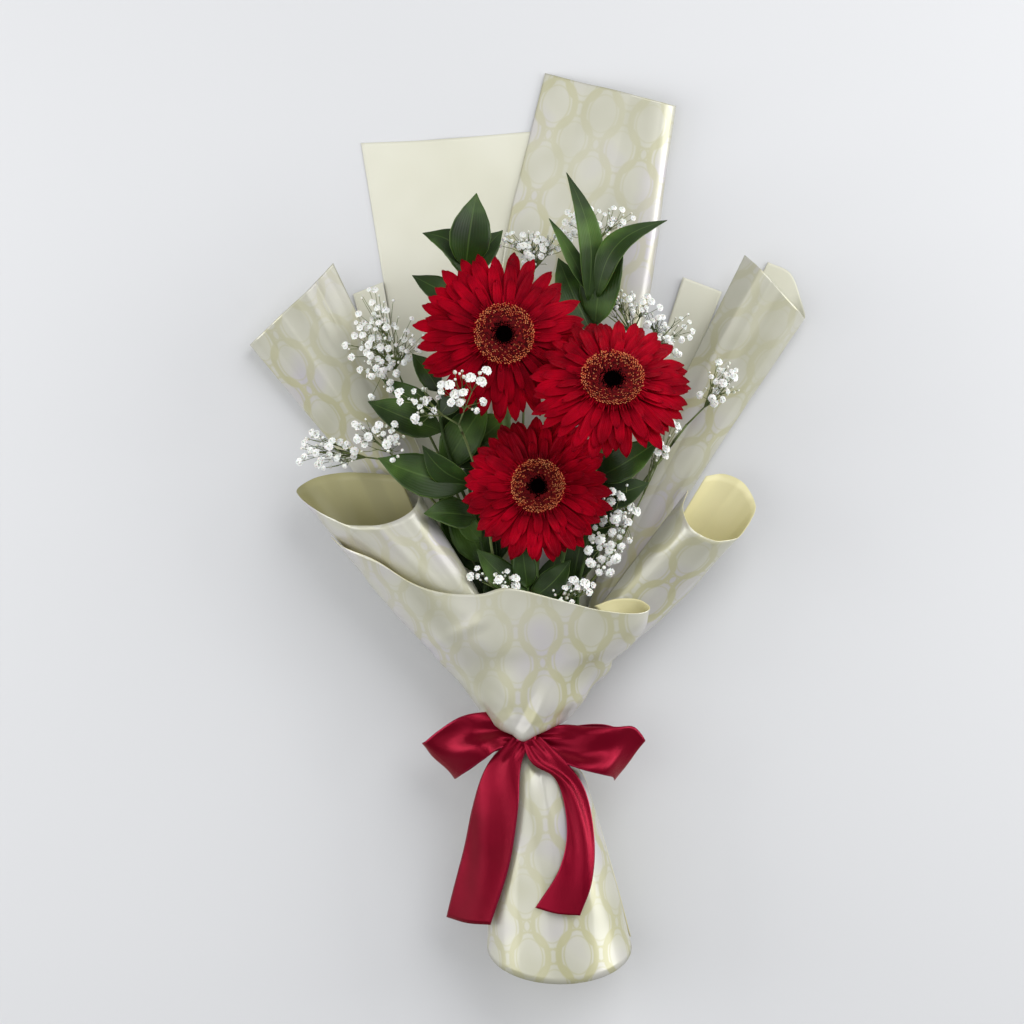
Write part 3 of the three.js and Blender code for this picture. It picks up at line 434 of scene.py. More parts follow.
back_right = [
    *neck(INNER_LAYER, 262, 312),
    [[-14, -90, 13], [-4, -90, 12.5], [6, -90, 12.5], [15, -90, 12]],
    [[-20, -20.9, 3], [-8, -20.9, 5], [5.3, -20.9, 7], [18.6, -20.9, 8], [29.8, -20.9, 8],
     [37.9, -20.9, 5], [35.3, -21, 1.5], [28.6, -21, 0.5], [22, -21, 0.4]],
    [[-25.3, 152.1, 2], [2, 149.9, 7], [35.1, 148.2, 12], [61.5, 148.1, 15], [76.1, 148.1, 14],
     [83.6, 148.5, 8], [78.5, 148.8, 2], [68.6, 148.9, 0.6], [55.3, 148.9, 0.6]],
    [[12, 303.2, 2], [35.2, 296.6, 8], [58.3, 290.7, 13], [78, 285, 16], [91.3, 281.8, 15],
     [98.9, 280.6, 8.5], [93.9, 282.6, 2], [81.9, 286.1, 0.6], [68.6, 289.4, 0.6]],
]
liner_left = [
    *neck(INNER_LAYER, 205, 238),
    [[-28, -90, 10.8], [-23.5, -90, 10.8], [-19, -90, 10.8]],
    [[-76.6, 12.3, 2], [-72.6, 12.3, 2], [-68.6, 12.3, 2]],
    [[-115.8, 156.1, 2], [-105.8, 160.1, 2], [-95.9, 164.1, 2]],
]
liner_right = [
    *neck(INNER_LAYER, 318, 345),
    [[18, -90, 11], [22.5, -90, 11], [27, -90, 11]],
    [[53.9, 12.3, 2], [63.2, 12.3, 2], [72.5, 12.3, 2]],
    [[103.8, 167.4, 2], [116.8, 162.5, 2], [129.8, 157.5, 2]],
]

# %% [markdown]
# ## Unrolling a sheet for its print
# Print is put on film while it is flat. Blender's Unwrap flattens the curved sheet again with little
# stretching, and then the map is turned so that up in it runs along the bouquet, and scaled to true
# size. The outermost sheet is an hourglass, which no flat sheet can make without gathers, so it is
# flattened in two parts that meet under the ribbon. The print then fades here and there, as it does
# where film turns from the light.


# %% Flatten a sheet
def unroll(sheet, columns, breaks):
    """Gives a sheet's UV map the flat sheet's own size in metres; breaks are rows where it is cut."""
    mesh = sheet.data
    row_of = [face.index // (columns - 1) for face in mesh.polygons]
    part_of = [sum(row >= b for b in breaks) for row in row_of]
    for edge in mesh.edges:
        rows = {v // columns for v in edge.vertices}
        edge.use_seam = len(rows) == 1 and rows.pop() in breaks
    bpy.ops.object.select_all(action="DESELECT")
    bpy.context.view_layer.objects.active = sheet
    sheet.select_set(True)
    bpy.ops.object.mode_set(mode="EDIT")
    bpy.ops.mesh.select_all(action="SELECT")
    bpy.ops.uv.unwrap(method="ANGLE_BASED", margin=0)
    bpy.ops.object.mode_set(mode="OBJECT")
    uv = np.empty(len(mesh.loops) * 2, np.float32)
    mesh.uv_layers["UVMap"].data.foreach_get("uv", uv)
    uv = uv.reshape(-1, 2)
    vertex_of = np.array([loop.vertex_index for loop in mesh.loops])
    face_of = np.repeat(np.arange(len(mesh.polygons)), 4)
    for part in sorted(set(part_of)):
        mine = np.array(part_of)[face_of] == part
        corners = uv[mine].reshape(-1, 4, 2)
        a, b = corners[:, 2] - corners[:, 0], corners[:, 3] - corners[:, 1]
        flat_area = np.abs(a[:, 0] * b[:, 1] - a[:, 1] * b[:, 0]).sum() / 2
        real_area = sum(f.area for f, p in zip(mesh.polygons, part_of) if p == part)
        middle = vertex_of[mine] % columns == columns // 2
        line, rows = uv[mine][middle], vertex_of[mine][middle] // columns
        first, last = line[rows == rows.min()][0], line[rows == rows.max()][0]
        up = (last - first) / np.linalg.norm(last - first)
        turn = np.array([[up[1], -up[0]], [up[0], up[1]]])
        uv[mine] = (uv[mine] - first) @ turn.T * math.sqrt(real_area / flat_area)
        wide, high = np.ptp(uv[mine], axis=0) / MM
        print(f"{sheet.name}, part {part + 1}: {wide:.0f} x {high:.0f} mm laid flat")
    mesh.uv_layers["UVMap"].data.foreach_set("uv", uv.ravel())


# %% [markdown]
# ## Creases and folds
# Film keeps every crease that it is given. A crease is a sharp ridge pressed out along the sheet's own
# normal, or a valley where its height is negative. On the front it is drawn as seen from above, from
# its foot to a tip where it fades. On a rolled sheet a fold runs all along the roll, and grows from
# nothing at the waist, where the film is gathered.


# %% Press the creases
FRONT = WAIST.z + 6  # what lies higher is the front of a sheet


def pressed(points, away, height, width):
    """Rows of places raised to a sharp ridge where away, their distance from a line, is nothing."""
    normal = np.cross(np.gradient(points, axis=0), np.gradient(points, axis=1))
    normal /= np.linalg.norm(normal, axis=2, keepdims=True)
    return points + normal * (height * np.clip(1 - away / width, 0, 1))[:, :, None]


def creased(points, foot, tip, height, width):
    """A crease in the front of a sheet from foot to tip as seen from above, fading to its tip."""
    foot, line = np.array(foot), np.subtract(tip, foot)
    plan = points[:, :, :2] - foot
    share = np.clip(plan @ line / (line @ line), 0, 1)
    away = np.linalg.norm(plan - share[:, :, None] * line, axis=2)
    return pressed(points, away, height * (1 - share**2) * (points[:, :, 2] > FRONT), width)


def folded(points, start, end, height, width):
    """A fold along a rolled sheet; start and end are its shares across at the waist and at the far end."""
    v, u = (np.linspace(0, 1, n) for n in points.shape[:2])
    run = np.linalg.norm(np.diff(points, axis=1), axis=2).sum(axis=1)[:, None]
    away = np.abs(u[None, :] - start - (end - start) * v[:, None]) * run
    return pressed(points, away, height * v[:, None], width)


# %% From rows to a sheet
FILM_THICKNESS = 0.3  # mm


def film_sheet(name, rows, across, along, faces, soft=False, breaks=(), creases=(), folds=()):
    """A sheet of film through its rows; the first of its two faces is where its normals point to."""
    lines = np.array([spaced(row, across + 1) for row in rows])
    if soft:
        lines = softened(lines)
    points = curve(lines, np.linspace(0, len(lines) - 1, along + 1))
    for crease in creases:
        points = creased(points, *crease)
    for fold in folds:
        points = folded(points, *fold)
    bm = new_mesh()
    lay_grid(bm, to_frame(points))
    bm.verts.index_update()
    node = name.replace("film_", "wrap_")
    made = finish_piece(bm, name, [node], faces, FILM_THICKNESS, 1)
    unroll(made, across + 1, breaks)
    return made


# %% Make the sheets
# Each sheet: its name, rows, faces across and along it, and the finishes of its two sides.
WAIST_ROW = 65  # the fine row of the outermost sheet that lies under the ribbon
OUTER_CREASES = [  # foot, tip, height and half width, mm, in plan
    ((-3, -136), (26, -80), 2.8, 7), ((-8, -130), (-22, -84), 1.2, 10), ((8, -128), (32, -84), 1.2, 8),
    ((-14, -126), (-56, -84), 1.3, 9), ((-30, -60), (-70, -78), 1.0, 6),
    ((-84, -52), (-48, -96), 1.6, 5), ((-104, -34), (-70, -72), 1.4, 4),
    ((3, -150), (-9, -266), 1.7, 11), ((8, -150), (26, -272), -1.6, 10), ((15, -152), (48, -262), 1.8, 9),
]
film_sheet("film_outer", outer_rows, 156, 154, [film_butter, film_print], breaks=(WAIST_ROW,),
           creases=OUTER_CREASES)
# The left cornet's inside is the darker olive film: painted shade in its mouth.
film_sheet("film_cornet_left", cornet_left, 110, 64, [film_print, film_olive_painted_shade],
           folds=[(0.2, 0.14, 2.4, 14), (0.3, 0.32, -2.8, 13), (0.66, 0.62, -1.6, 12), (0.8, 0.78, 1.8, 12)])
film_sheet("film_cornet_right", cornet_right, 100, 64, [film_butter, film_print],
           folds=[(0.16, 0.16, -2.2, 14), (0.3, 0.3, 1.8, 13), (0.52, 0.52, 1.8, 11), (0.72, 0.7, -1.4, 12)])
film_sheet("film_wing_left", wing_left, 100, 70, [film_print, film_cream], soft=True,
           folds=[(0.42, 0.45, 1.8, 9), (0.62, 0.6, -2, 12), (0.86, 0.85, 1.8, 10)])
film_sheet("film_wing_right", wing_right, 100, 70, [film_print, film_cream], soft=True,
           folds=[(0.25, 0.22, 2, 10), (0.42, 0.44, -1.8, 10)])
film_sheet("film_back_left", back_left, 60, 80, [film_cream, film_print], soft=True,
           folds=[(0.5, 0.42, -1.3, 22), (0.8, 0.86, -1.0, 16)])
film_sheet("film_back_right", back_right, 90, 90, [film_print, film_cream], soft=True,
           folds=[(0.2, 0.22, 1.2, 18), (0.4, 0.46, -1.0, 12)])
film_sheet("film_liner_left", liner_left, 16, 60, [film_cream, film_print], soft=True)
film_sheet("film_liner_right", liner_right, 16, 60, [film_cream, film_print], soft=True)

# %% [markdown]
# ## Gerbera heads
# A gerbera's head is many flowers. The long red rays are flowers with one long petal each, and they
# stand in whorls of twenty or so, the upper ones shorter. Inside them stands a fringe of short rays,
# and then the disc. Each ray is a small grid, bent and channelled along its length, with small teeth
# at its tip. No two are alike: each draws its own length, width, turn, roll and bend.

# %% Petal and disc finishes
VEINS = 7  # raised veins across one ray


def strip_shares(tree):
    """How far across and how far along its strip a place lies, from 0 to 1, as the UV map has it."""
    parts = add(tree, "SeparateXYZ", add(tree, "UVMap", uv_map="UVMap")).node
    return parts.outputs["X"], parts.outputs["Y"]


def ridges(tree, share, count):
    """A wave with count ridges where the share runs from 0 to 1."""
    turns = add(tree, "Math", share, 2 * math.pi * count, operation="MULTIPLY")
    return add(tree, "Math", turns, operation="COSINE")


# Petals look like velvet: no hard shine, a deeper red at the foot, some light coming through.
petal, tree, surface = new_finish(
    "gerbera_ray_velvet", Roughness=0.5, Specular_IOR_Level=0.18, Specular_Tint="#ff5a78",
    Sheen_Weight=0.05, Sheen_Tint="#ff2038",
    Subsurface_Weight=0.15, Subsurface_Scale=0.003, Subsurface_Radius=(1.0, 0.15, 0.1),
)
across_ray, along_ray = strip_shares(tree)
foot_to_tip = add(tree, "ValToRGB", along_ray,
                  stops=[(0.0, "#5a000a"), (0.3, "#7c0010"), (0.75, "#920014"), (1.0, "#780010")])
# Large random lighter and darker patches: partly the rays' own uneven red, partly painted light and shade.
uneven_red_and_painted_light = add(tree, "MapRange", mottle(tree, 55, 2), 0.36, 0.64, 0.66, 1.38)
ridge = ridges(tree, across_ray, VEINS)
vein = add(tree, "MapRange", ridge, -1, 1, 0.93, 1.04)
dim = add(tree, "Math", uneven_red_and_painted_light, vein, operation="MULTIPLY")
red = add(tree, "VectorMath", foot_to_tip, dim, operation="SCALE")
fill(surface, Base_Color=red, Normal=add(tree, "Bump", Height=ridge, Strength=0.4, Distance=0.12 * MM))

# Floret tubes: dull maroon, mottled at the size of one floret.
floret_tube = mottled("disc_floret_maroon", 500, 1, (0.35, "#420408"), (0.65, "#861017"),
                      Roughness=0.7, Specular_IOR_Level=0.12)
# Opened tips: matt orange, no two quite alike.
floret_tip = mottled("disc_floret_orange", 400, 1, (0.35, "#e4622e"), (0.65, "#f8a468"), Roughness=0.6)
# Closed florets: nearly black and without shine, so that the eye looks deep.
eye = mottled("disc_eye_black", 700, 1, (0.4, "#030202"), (0.65, "#0c0304"),
              Roughness=0.9, Specular_IOR_Level=0)

# %% Where the heads are
HEADS = [
    {"name": "gerbera_1", "at": (-15.8, 124.1, 100), "faces": (0.12, 0.1, 1), "radius": 57, "disc": 18.2},
    {"name": "gerbera_2", "at": (53.3, 92.6, 124), "faces": (0.04, 0.5, 0.88), "radius": 53, "disc": 18.8},
    {"name": "gerbera_3", "at": (6.7, 27.1, 86), "faces": (-0.02, 0.12, 1), "radius": 49, "disc": 16},
]


def turned_to(direction):
    """The turn that brings straight up to a direction."""
    return Vector((0, 0, 1)).rotation_difference(direction).to_matrix().to_4x4()


for head in HEADS:
    place = Matrix.Translation(Vector(head["at"]) * MM + SHIFT)
    head["frame"] = place @ turned_to(Vector(head["faces"]).normalized()) @ Matrix.Scale(MM, 4)
    print(f"{head['name']}: {2 * head['radius']} mm across")


# %% One ray
WHORLS = [  # rays, length as a share, radius and height of the foot, rise, droop, half width at most, mm
    (27, 1.0, 15, -3.3, 5, 9.4, 5.0),
    (25, 0.95, 14.5, -1.7, 5, 8.4, 4.8),
    (20, 0.86, 14, -0.1, 4.6, 6.8, 4.2),
    (17, 0.68, 15, 1.5, 3.2, 4.2, 2.9),
]
WIDTH_SHARES = [0.5, 0.74, 1.0, 0.8, 0.46, 0.14]  # a ray's width from its foot to its tip
ROLL, BEND = 13, 2.5  # how far a ray may roll, degrees, and bend to its side, mm
CHANNEL = 0.06  # depth of the channels along a ray, as a share of its width
TOOTH, ROUNDING = 0.5, 0.9  # length of the teeth at its tip, and how far the tip is rounded, mm


def in_flower(turn, out, side, z):
    """A place in a flower: out along a petal that points at an angle, and to the petal's side."""
    return out * math.cos(turn) - side * math.sin(turn), out * math.sin(turn) + side * math.cos(turn), z


def ray_points(whorl, place, radius, dice):
    """Rows of places over one ray, in the head's own millimetres; place counts rays round the whorl."""
    count, length, foot, height, rise, droop, widest = whorl
    reach = radius * length * (1 + dice.triangular(-0.13, 0.03, 0)) - foot
    turn = 2 * math.pi * (place + dice.uniform(-0.16, 0.16)) / count
    roll, bend = math.radians(dice.uniform(-ROLL, ROLL)), dice.uniform(-BEND, BEND)
    tip = dice.uniform(-2.0, 1.6)
    half = widest * dice.uniform(0.82, 1.1)
    full = dice.uniform(0.5, 0.68)
    rows = []
    for t in np.linspace(0, 1, 15):
        width = half * np.interp(t, [0, 0.14, full, 0.84, 0.94, 1], WIDTH_SHARES)
        z = height + rise * t - droop * t * t + tip * t**3
        row = []
        for s in np.linspace(-1, 1, 9):
            channel = CHANNEL * width * (math.cos(2 * math.pi * s) + 2.4 * s * s)
            teeth = TOOTH * math.cos(3 * math.pi * s) - ROUNDING * s * s if t == 1 else 0
            side = s * width * math.cos(roll) + bend * t * t
            lift = s * width * math.sin(roll) + channel
            row.append(in_flower(turn, foot + reach * t + teeth, side, z + lift))
        rows.append(row)
    return rows


# %% Rays and fringe
FRINGE = 96  # thin short rays round the disc
PETAL_THICKNESS = 0.12  # mm
for n, head in enumerate(HEADS):
    dice = random.Random(40 + n)
    bm = new_mesh()
    for w, whorl in enumerate(WHORLS):
        for i in range(whorl[0]):
            lay_grid(bm, ray_points(whorl, i + 0.5 * w + 0.13 * w * w, head["radius"], dice))
    for i in range(FRINGE):
        turn = 2 * math.pi * (i + dice.uniform(-0.3, 0.3)) / FRINGE
        reach, rise = dice.uniform(2.5, 8), dice.uniform(0.3, 1.8)
        rows = []
        for t in np.linspace(0, 1, 5):
            out, z = head["disc"] - 1 + reach * t, 4.4 + rise * math.sin(2.4 * t) - 1.6 * t * t
            half = 0.6 * (1 - 0.6 * t)
            rows.append([in_flower(turn, out, s * half, z - 0.25 * s * s) for s in (-1, 0, 1)])
        lay_grid(bm, rows)
    bmesh.ops.transform(bm, matrix=head["frame"], verts=bm.verts)
    finish_piece(bm, head["name"] + "_petals", [head["name"] + "_rays"], [petal], PETAL_THICKNESS)

# %% [markdown]
# ## The disc
# The florets of a disc stand in spirals, each turned from the last by the golden angle, so they fill
# the disc evenly. The nearer the rim, the more of them have opened: each is a maroon tube, and an
# open one has a forked orange tip and leans outwards. The inner ones are closed, and the innermost
# are nearly black round a small sunk middle.

# %% Discs: how they are filled
GOLDEN_ANGLE = math.pi * (3 - math.sqrt(5))
FLORETS = 820
FLORET_FOOT = Vector((0, 0, 5.3))  # how high the florets stand in the head, mm
EYE = 0.46  # share of the disc's radius where the florets are still closed
TUBE, TIP, DARK = range(3)  # the disc's finishes
CLOSED_RADII, OPEN_RADII = (0.7, 0.28), (0.36, 0.3)  # foot and top of a floret, mm
FLORET_SIDES = 4


def cone(bm, foot, top, radius, tip_radius, sides, material=0):
    """A tapered stalk from foot to top."""
    made = bmesh.ops.create_cone(
        bm, cap_ends=True, segments=sides, radius1=radius, radius2=tip_radius, depth=(top - foot).length,
        matrix=Matrix.Translation((foot + top) / 2) @ turned_to(top - foot),
    )["verts"]
    for face in {f for v in made for f in v.link_faces}:
        face.material_index = material


# %% Fill the discs
for n, head in enumerate(HEADS):
    dice = random.Random(70 + n)
    bm = new_mesh()
    disc = head["disc"]
    dome = bmesh.ops.create_cone(bm, cap_ends=True, segments=48, radius1=disc, radius2=disc - 0.8, depth=3,
                                 matrix=Matrix.Translation((0, 0, 4.2)))["verts"]
    top = [f for f in {f for v in dome for f in v.link_faces} if f.normal.z > 0.5]
    bmesh.ops.inset_region(bm, faces=top, thickness=0.66 * disc, depth=0)
    for face in top:
        face.material_index = DARK
    bmesh.ops.inset_region(bm, faces=top, thickness=2.0, depth=-0.6)
    for i in range(FLORETS):
        share = math.sqrt((i + 0.5) / FLORETS)
        turn = i * GOLDEN_ANGLE
        out = Vector((math.cos(turn), math.sin(turn), 0))
        foot = out * share * disc + FLORET_FOOT
        if share < EYE + dice.uniform(-0.06, 0.06):  # closed: a blunt cone
            up = foot + Vector((0, 0, 1.6 + dice.uniform(-0.3, 0.3))) - out * 0.3
            dark = share < 0.95 * EYE + dice.uniform(-0.12, 0.08)
            cone(bm, foot, up, *CLOSED_RADII, FLORET_SIDES, DARK if dark else TUBE)
            continue
        open_share = max(0, share - EYE) / (1 - EYE)  # open: a tube, and more and more often a forked tip
        lean = out * 1.2 * open_share + Vector((dice.uniform(-0.3, 0.3), dice.uniform(-0.3, 0.3), 0))
        top = foot + Vector((0, 0, 1.5 + dice.uniform(-0.3, 0.6))) + lean
        cone(bm, foot, top, *OPEN_RADII, FLORET_SIDES, TUBE)
        if dice.random() < 0.14 + 0.86 * open_share**1.5:
            tip = (0.13 + 0.1 * open_share**2) * dice.uniform(0.8, 1.2)
            for side in (-1, 1):
                fork = Vector((-out.y, out.x, 0)) * side * 0.4 + out * 0.5 + Vector((0, 0, 0.5))
                cone(bm, top - Vector((0, 0, 0.1)), top + fork, tip, 0.6 * tip, FLORET_SIDES, TIP)
    bmesh.ops.transform(bm, matrix=head["frame"], verts=bm.verts)
    finish_piece(bm, head["name"] + "_florets", [head["name"] + "_disc"],
                 [floret_tube, floret_tip, eye])

# %% [markdown]
# ## Stems
# A stem is a tube along its curve. Rings of points are set across the curve, and bridge_loops joins
# each ring to the next. All the stems pass through the tie, each in its own place in the bundle.

# %% Stem finishes
# Living skin: half matt, paler and darker in turns along the stem.
stem_green, branch_green, stalk_green = [
    mottled(name, scale, 2, (0.3, dull), (0.7, bright), Roughness=0.6, Specular_IOR_Level=0.3)
    for name, scale, dull, bright in (
        ("flower_stem_green", 120, "#3c5426", "#587238"),
        ("ruscus_branch_green", 120, "#25380f", "#3c5420"),
        ("babys_breath_stalk", 60, "#4f5c36", "#78844e"),
    )
]

# %% Tubes
CUT_END = Vector((15, -258, 37))  # middle of the cut ends, in the foot
SPREAD = 1.15  # how much wider the bundle is there than at the waist
SLOTS = 16  # places round the bundle
FLOWER_RING, RUSCUS_RING, SPRAY_RING = 4.7, 9.8, 10.1  # how far from its middle the stems lie, mm
FLOWER_STEM, RUSCUS_STEM, SPRAY_STEM = (2.9, 2.9), (1.5, 1.0), (1.2, 0.8)  # radii, foot and top, mm


def stem_path(distance, slot, rest):
    """A stem's points from its cut end in the foot, through its own place in the bundle, and on."""
    angle = math.pi / 2 - 2 * math.pi * slot / SLOTS
    x, z = distance * math.cos(angle), distance * math.sin(angle)
    return [
        (CUT_END.x + x * SPREAD, CUT_END.y, CUT_END.z + z * SPREAD),
        (CUT_END.x * 0.35 + x * 1.05, -190, WAIST.z + z * 1.05),
        (x, WAIST.y - 8, WAIST.z + z),
        (x, WAIST.y + 8, WAIST.z + z),
        *rest,
    ]


def tube(bm, path, radii, sides):
    """A tube of the given radii along the smooth curve through path, closed at both ends."""
    count = len(radii)
    places = curve(path, np.linspace(0, len(path) - 1, count))
    before = None
    for k in range(count):
        along = Vector(places[min(k + 1, count - 1)] - places[max(k - 1, 0)]).normalized()
        ring = bmesh.ops.create_circle(
            bm, segments=sides, radius=radii[k], cap_ends=k in (0, count - 1),
            matrix=Matrix.Translation(Vector(places[k])) @ turned_to(along),
        )["verts"]
        edges = [e for e in {e for v in ring for e in v.link_edges} if all(v in ring for v in e.verts)]
        if before:
            bmesh.ops.bridge_loops(bm, edges=before + edges)
        before = edges


# %% Gerbera stems
STEM_PATHS = [  # place in the bundle, and points from the waist to the head
    (11, [(-9, 0, 52), (-14.5, 80, 64), (-17, 112, 78)]),
    (6, [(22, -20, 46), (40, 30, 52), (50, 62, 68)]),
    (0, [(2, -70, 50), (6, -5, 56), (7, 18, 62)]),
]
CUP_PROFILE = [(3.0, -17.5), (4.6, -14.5), (8.4, -10.5), (11.6, -7), (13, -4.6)]  # radius and height, mm
for head, (slot, rest) in zip(HEADS, STEM_PATHS):
    under_head = [Vector(head["frame"] @ Vector((0, 0, z)) - SHIFT) / MM for z in (-24, -15)]
    bm = new_mesh()
    tube(bm, stem_path(FLOWER_RING, slot, [*rest, *under_head]), np.linspace(*FLOWER_STEM, 48), 12)
    bmesh.ops.transform(bm, matrix=TO_FRAME, verts=bm.verts)
    cup = bmesh.new()
    line = [cup.verts.new((r, 0, z)) for r, z in CUP_PROFILE]
    edges = [cup.edges.new(pair) for pair in zip(line, line[1:])]
    bmesh.ops.spin(cup, geom=line + edges, cent=(0, 0, 0), axis=(0, 0, 1), angle=2 * math.pi, steps=26,
                   use_merge=True)
    bmesh.ops.holes_fill(cup, edges=[e for e in cup.edges if e.is_boundary])
    for v in cup.verts:
        v.co.xy *= 1 + 0.05 * math.cos(13 * math.atan2(v.co.y, v.co.x))
    bmesh.ops.recalc_face_normals(cup, faces=cup.faces)
    bmesh.ops.transform(cup, matrix=head["frame"], verts=cup.verts)
    holder = as_mesh(cup, "cup")
    bm.from_mesh(holder)
    bpy.data.meshes.remove(holder)
    finish_piece(bm, head["name"] + "_stalk", [head["name"] + "_stem"], [stem_green])

# %% [markdown]
# ## Ruscus
# Florists' ruscus: glossy dark blades that point along the stem, each with a pale midrib and fine
# ribs that run from its foot to its tip. A blade is a grid, folded a little along its middle, arched,
# and slightly waved along its edges.

# %% Leaf finish
RIBS = 14  # fine ribs across a blade


def from_middle(tree, across):
    """How far a place is from the middle of its strip; the edges are at a half."""
    off = add(tree, "Math", across, 0.5, operation="SUBTRACT")
    return add(tree, "Math", off, operation="ABSOLUTE")


# A waxy blade: dark green under a thin soft shine, with a pale midrib and rim.
leaf_gloss, tree, surface = new_finish(
    "ruscus_leaf_waxy", Roughness=0.42, Specular_IOR_Level=0.25, Coat_Weight=0.06, Coat_Roughness=0.3,
    Subsurface_Weight=0.04, Subsurface_Scale=0.002,
)
across_blade, _ = strip_shares(tree)
blade = mottle(tree, 24, 3, (0.32, "#162605"), (0.5, "#263d0e"), (0.68, "#4f6e2a"))
from_rib = from_middle(tree, across_blade)
rib = add(tree, "MapRange", from_rib, 0.008, 0.03, 0.24, 0)
rim = add(tree, "MapRange", from_rib, 0.475, 0.497, 0, 0.4)
pale = add(tree, "Math", rib, rim, operation="MAXIMUM")
face = add(tree, "Mix", pale, blade, "#6f8c45", data_type="RGBA")
bump = add(tree, "Bump", Height=ridges(tree, across_blade, RIBS), Strength=0.35, Distance=0.12 * MM)
fill(surface, Base_Color=face, Normal=bump)

# %% Where the leaves are
RUSCUS = [  # place in the bundle, path, and leaves: foot, tip, half width, roll, arch, sideways bend
    ("ruscus_1", 9, [(-18, -40, 24), (-36, 90, 44), (-39, 150, 62), (-38, 172, 68)], [
        ((-40, 169, 68), (-33, 217, 74), 13, 24, 5, 3), ((-38, 164, 67), (-68, 192, 64), 10, 24, 7, -6),
        ((-38, 164, 66), (-16, 194, 60), 9, -26, 4, 0), ((-38, 146, 61), (-75, 165, 56), 8, 20, 4, 2)]),
    ("ruscus_2", 6, [(22, -30, 26), (36, 70, 40), (42, 125, 62), (42, 152, 74)], [
        ((39, 148, 74), (25, 229.5, 84), 7.4, 20, 6, -6), ((40, 152, 72), (14, 201, 70), 5.4, 35, 5, 2),
        ((45, 150, 76), (90, 199, 80), 8, -22, 12, 9), ((44, 132, 71), (62, 186, 70), 12, -14, 5, 4),
        ((41, 128, 68), (20, 176, 60), 11.5, 22, 5, 3)]),
    ("ruscus_3", 11, [(-22, -30, 38), (-46, 34, 46), (-56, 66, 50), (-58, 92, 54)], [
        ((-56, 64, 50), (-104, 83, 52), 11, 20, 6, 3), ((-58, 90, 54), (-75, 114, 60), 7.5, 20, 3, 0),
        ((-57, 78, 52), (-95, 98, 46), 6, 10, 4, 2), ((-54, 40, 44), (-26, 84, 44), 12, -10, 4, 0),
        ((-57, 74, 52), (-36, 96, 56), 7, -20, 3, 0), ((-50, 42, 38), (-10, 76, 38), 14, -6, 3, 0),
        ((-42, 36, 36), (14, 56, 38), 14, 4, 3, 0), ((-52, 52, 36), (-30, 100, 38), 12, 4, 3, 0)]),
    ("ruscus_4", 13, [(-12, -70, 48), (-26, -25, 52), (-35, 10, 58), (-38, 30, 62)], [
        ((-38, 28, 62), (-97, 46, 60), 13, 15, 6, 4), ((-35, 8, 58), (-67, 10, 78), 10, 25, 3, 0),
        ((-38, 30, 62), (-68, 54, 74), 8, -20, 4, 3), ((-30, 16, 46), (0, 60, 46), 13, -10, 3, 0),
        ((-28, -22, 46), (-50, 20, 48), 12, 10, 3, 0), ((-31, -8, 55), (-47, 12, 58), 6, 10, 2, 0),
        ((-24, -30, 36), (-58, 26, 38), 14, 6, 3, 0), ((-22, -24, 34), (-28, 40, 36), 14, 0, 3, 0)]),
    ("ruscus_5", 2, [(22, -70, 50), (36, -25, 57), (42, 12, 60), (45, 34, 62)], [
        ((45, 33, 62), (86, 58, 76), 10.5, -20, 5, -3), ((43, 20, 60.7), (79, 30, 62), 9, -10, 4, -2),
        ((40, 14, 50), (24, 66, 50), 12, 10, 3, 0), ((30, -34, 46), (40, 12, 46), 12, -10, 3, 0),
        ((39.3, -6, 58.7), (59, 13, 56), 6.5, -10, 3, 0), ((38, 8, 42), (8, 62, 44), 14, 4, 3, 0),
        ((40, 10, 42), (52, 62, 44), 13, -4, 3, 0)]),
    ("ruscus_6", 0, [(5, -90, 57), (4, -55, 63), (0, -38, 68)], [
        ((1, -42, 67), (-33, -13, 66), 8.5, 15, 3, 3), ((2, -46, 66), (28, -20, 64), 8, -15, 3, -3),
        ((0, -38, 68), (-4, -8, 72), 7, 0, 2, 0), ((-6, -74, 50), (-26, -18, 50), 12, 10, 3, 0),
        ((6, -74, 50), (20, -14, 50), 12, -10, 3, 0), ((0, -70, 53), (-3, -16, 54), 11, 0, 3, 0),
        ((-8, -76, 42), (-36, -28, 42), 12, 6, 3, 0), ((10, -76, 44), (32, -26, 44), 12, -6, 3, 0)]),
]
print("leaves:", sum(len(leaves) for *_, leaves in RUSCUS))

# %% One leaf
LEAF_OUTLINE = (  # shares of the length, and of the half width there
    [0, 0.05, 0.14, 0.28, 0.46, 0.64, 0.8, 0.91, 1],
    [0.08, 0.34, 0.74, 1.04, 1.12, 0.95, 0.6, 0.26, 0.02],
)
LEAF_THICKNESS = 0.5  # mm
RISE = 0.16  # how far a blade's edges rise over its midrib, as a share of its half width


def leaf_points(foot, tip, half, roll, arch, bend, dice):
    """Rows of places over one leaf blade, in the drawing's millimetres."""
    foot, tip = Vector(foot), Vector(tip)
    along = (tip - foot).normalized()
    side = Vector((0, 0, 1)).cross(along).normalized()
    side.rotate(Matrix.Rotation(math.radians(roll), 3, along))
    up = along.cross(side)
    wave, phase = dice.uniform(0.4, 1.0), dice.uniform(0, 6)
    rows = []
    for t in np.linspace(0, 1, 25):
        bow = math.sin(math.pi * t)
        middle = foot.lerp(tip, t) + up * arch * bow + side * bend * bow
        share = np.interp(t, *LEAF_OUTLINE)
        row = []
        for s in np.linspace(-1, 1, 13):
            lift = RISE * half * share * abs(s) ** 1.3 + wave * s * s * math.sin(7 * t + phase + s)
            row.append(middle + side * (s * half * share) + up * lift * min(1, 4 * (1 - t)))
        rows.append(row)
    return np.array(rows)


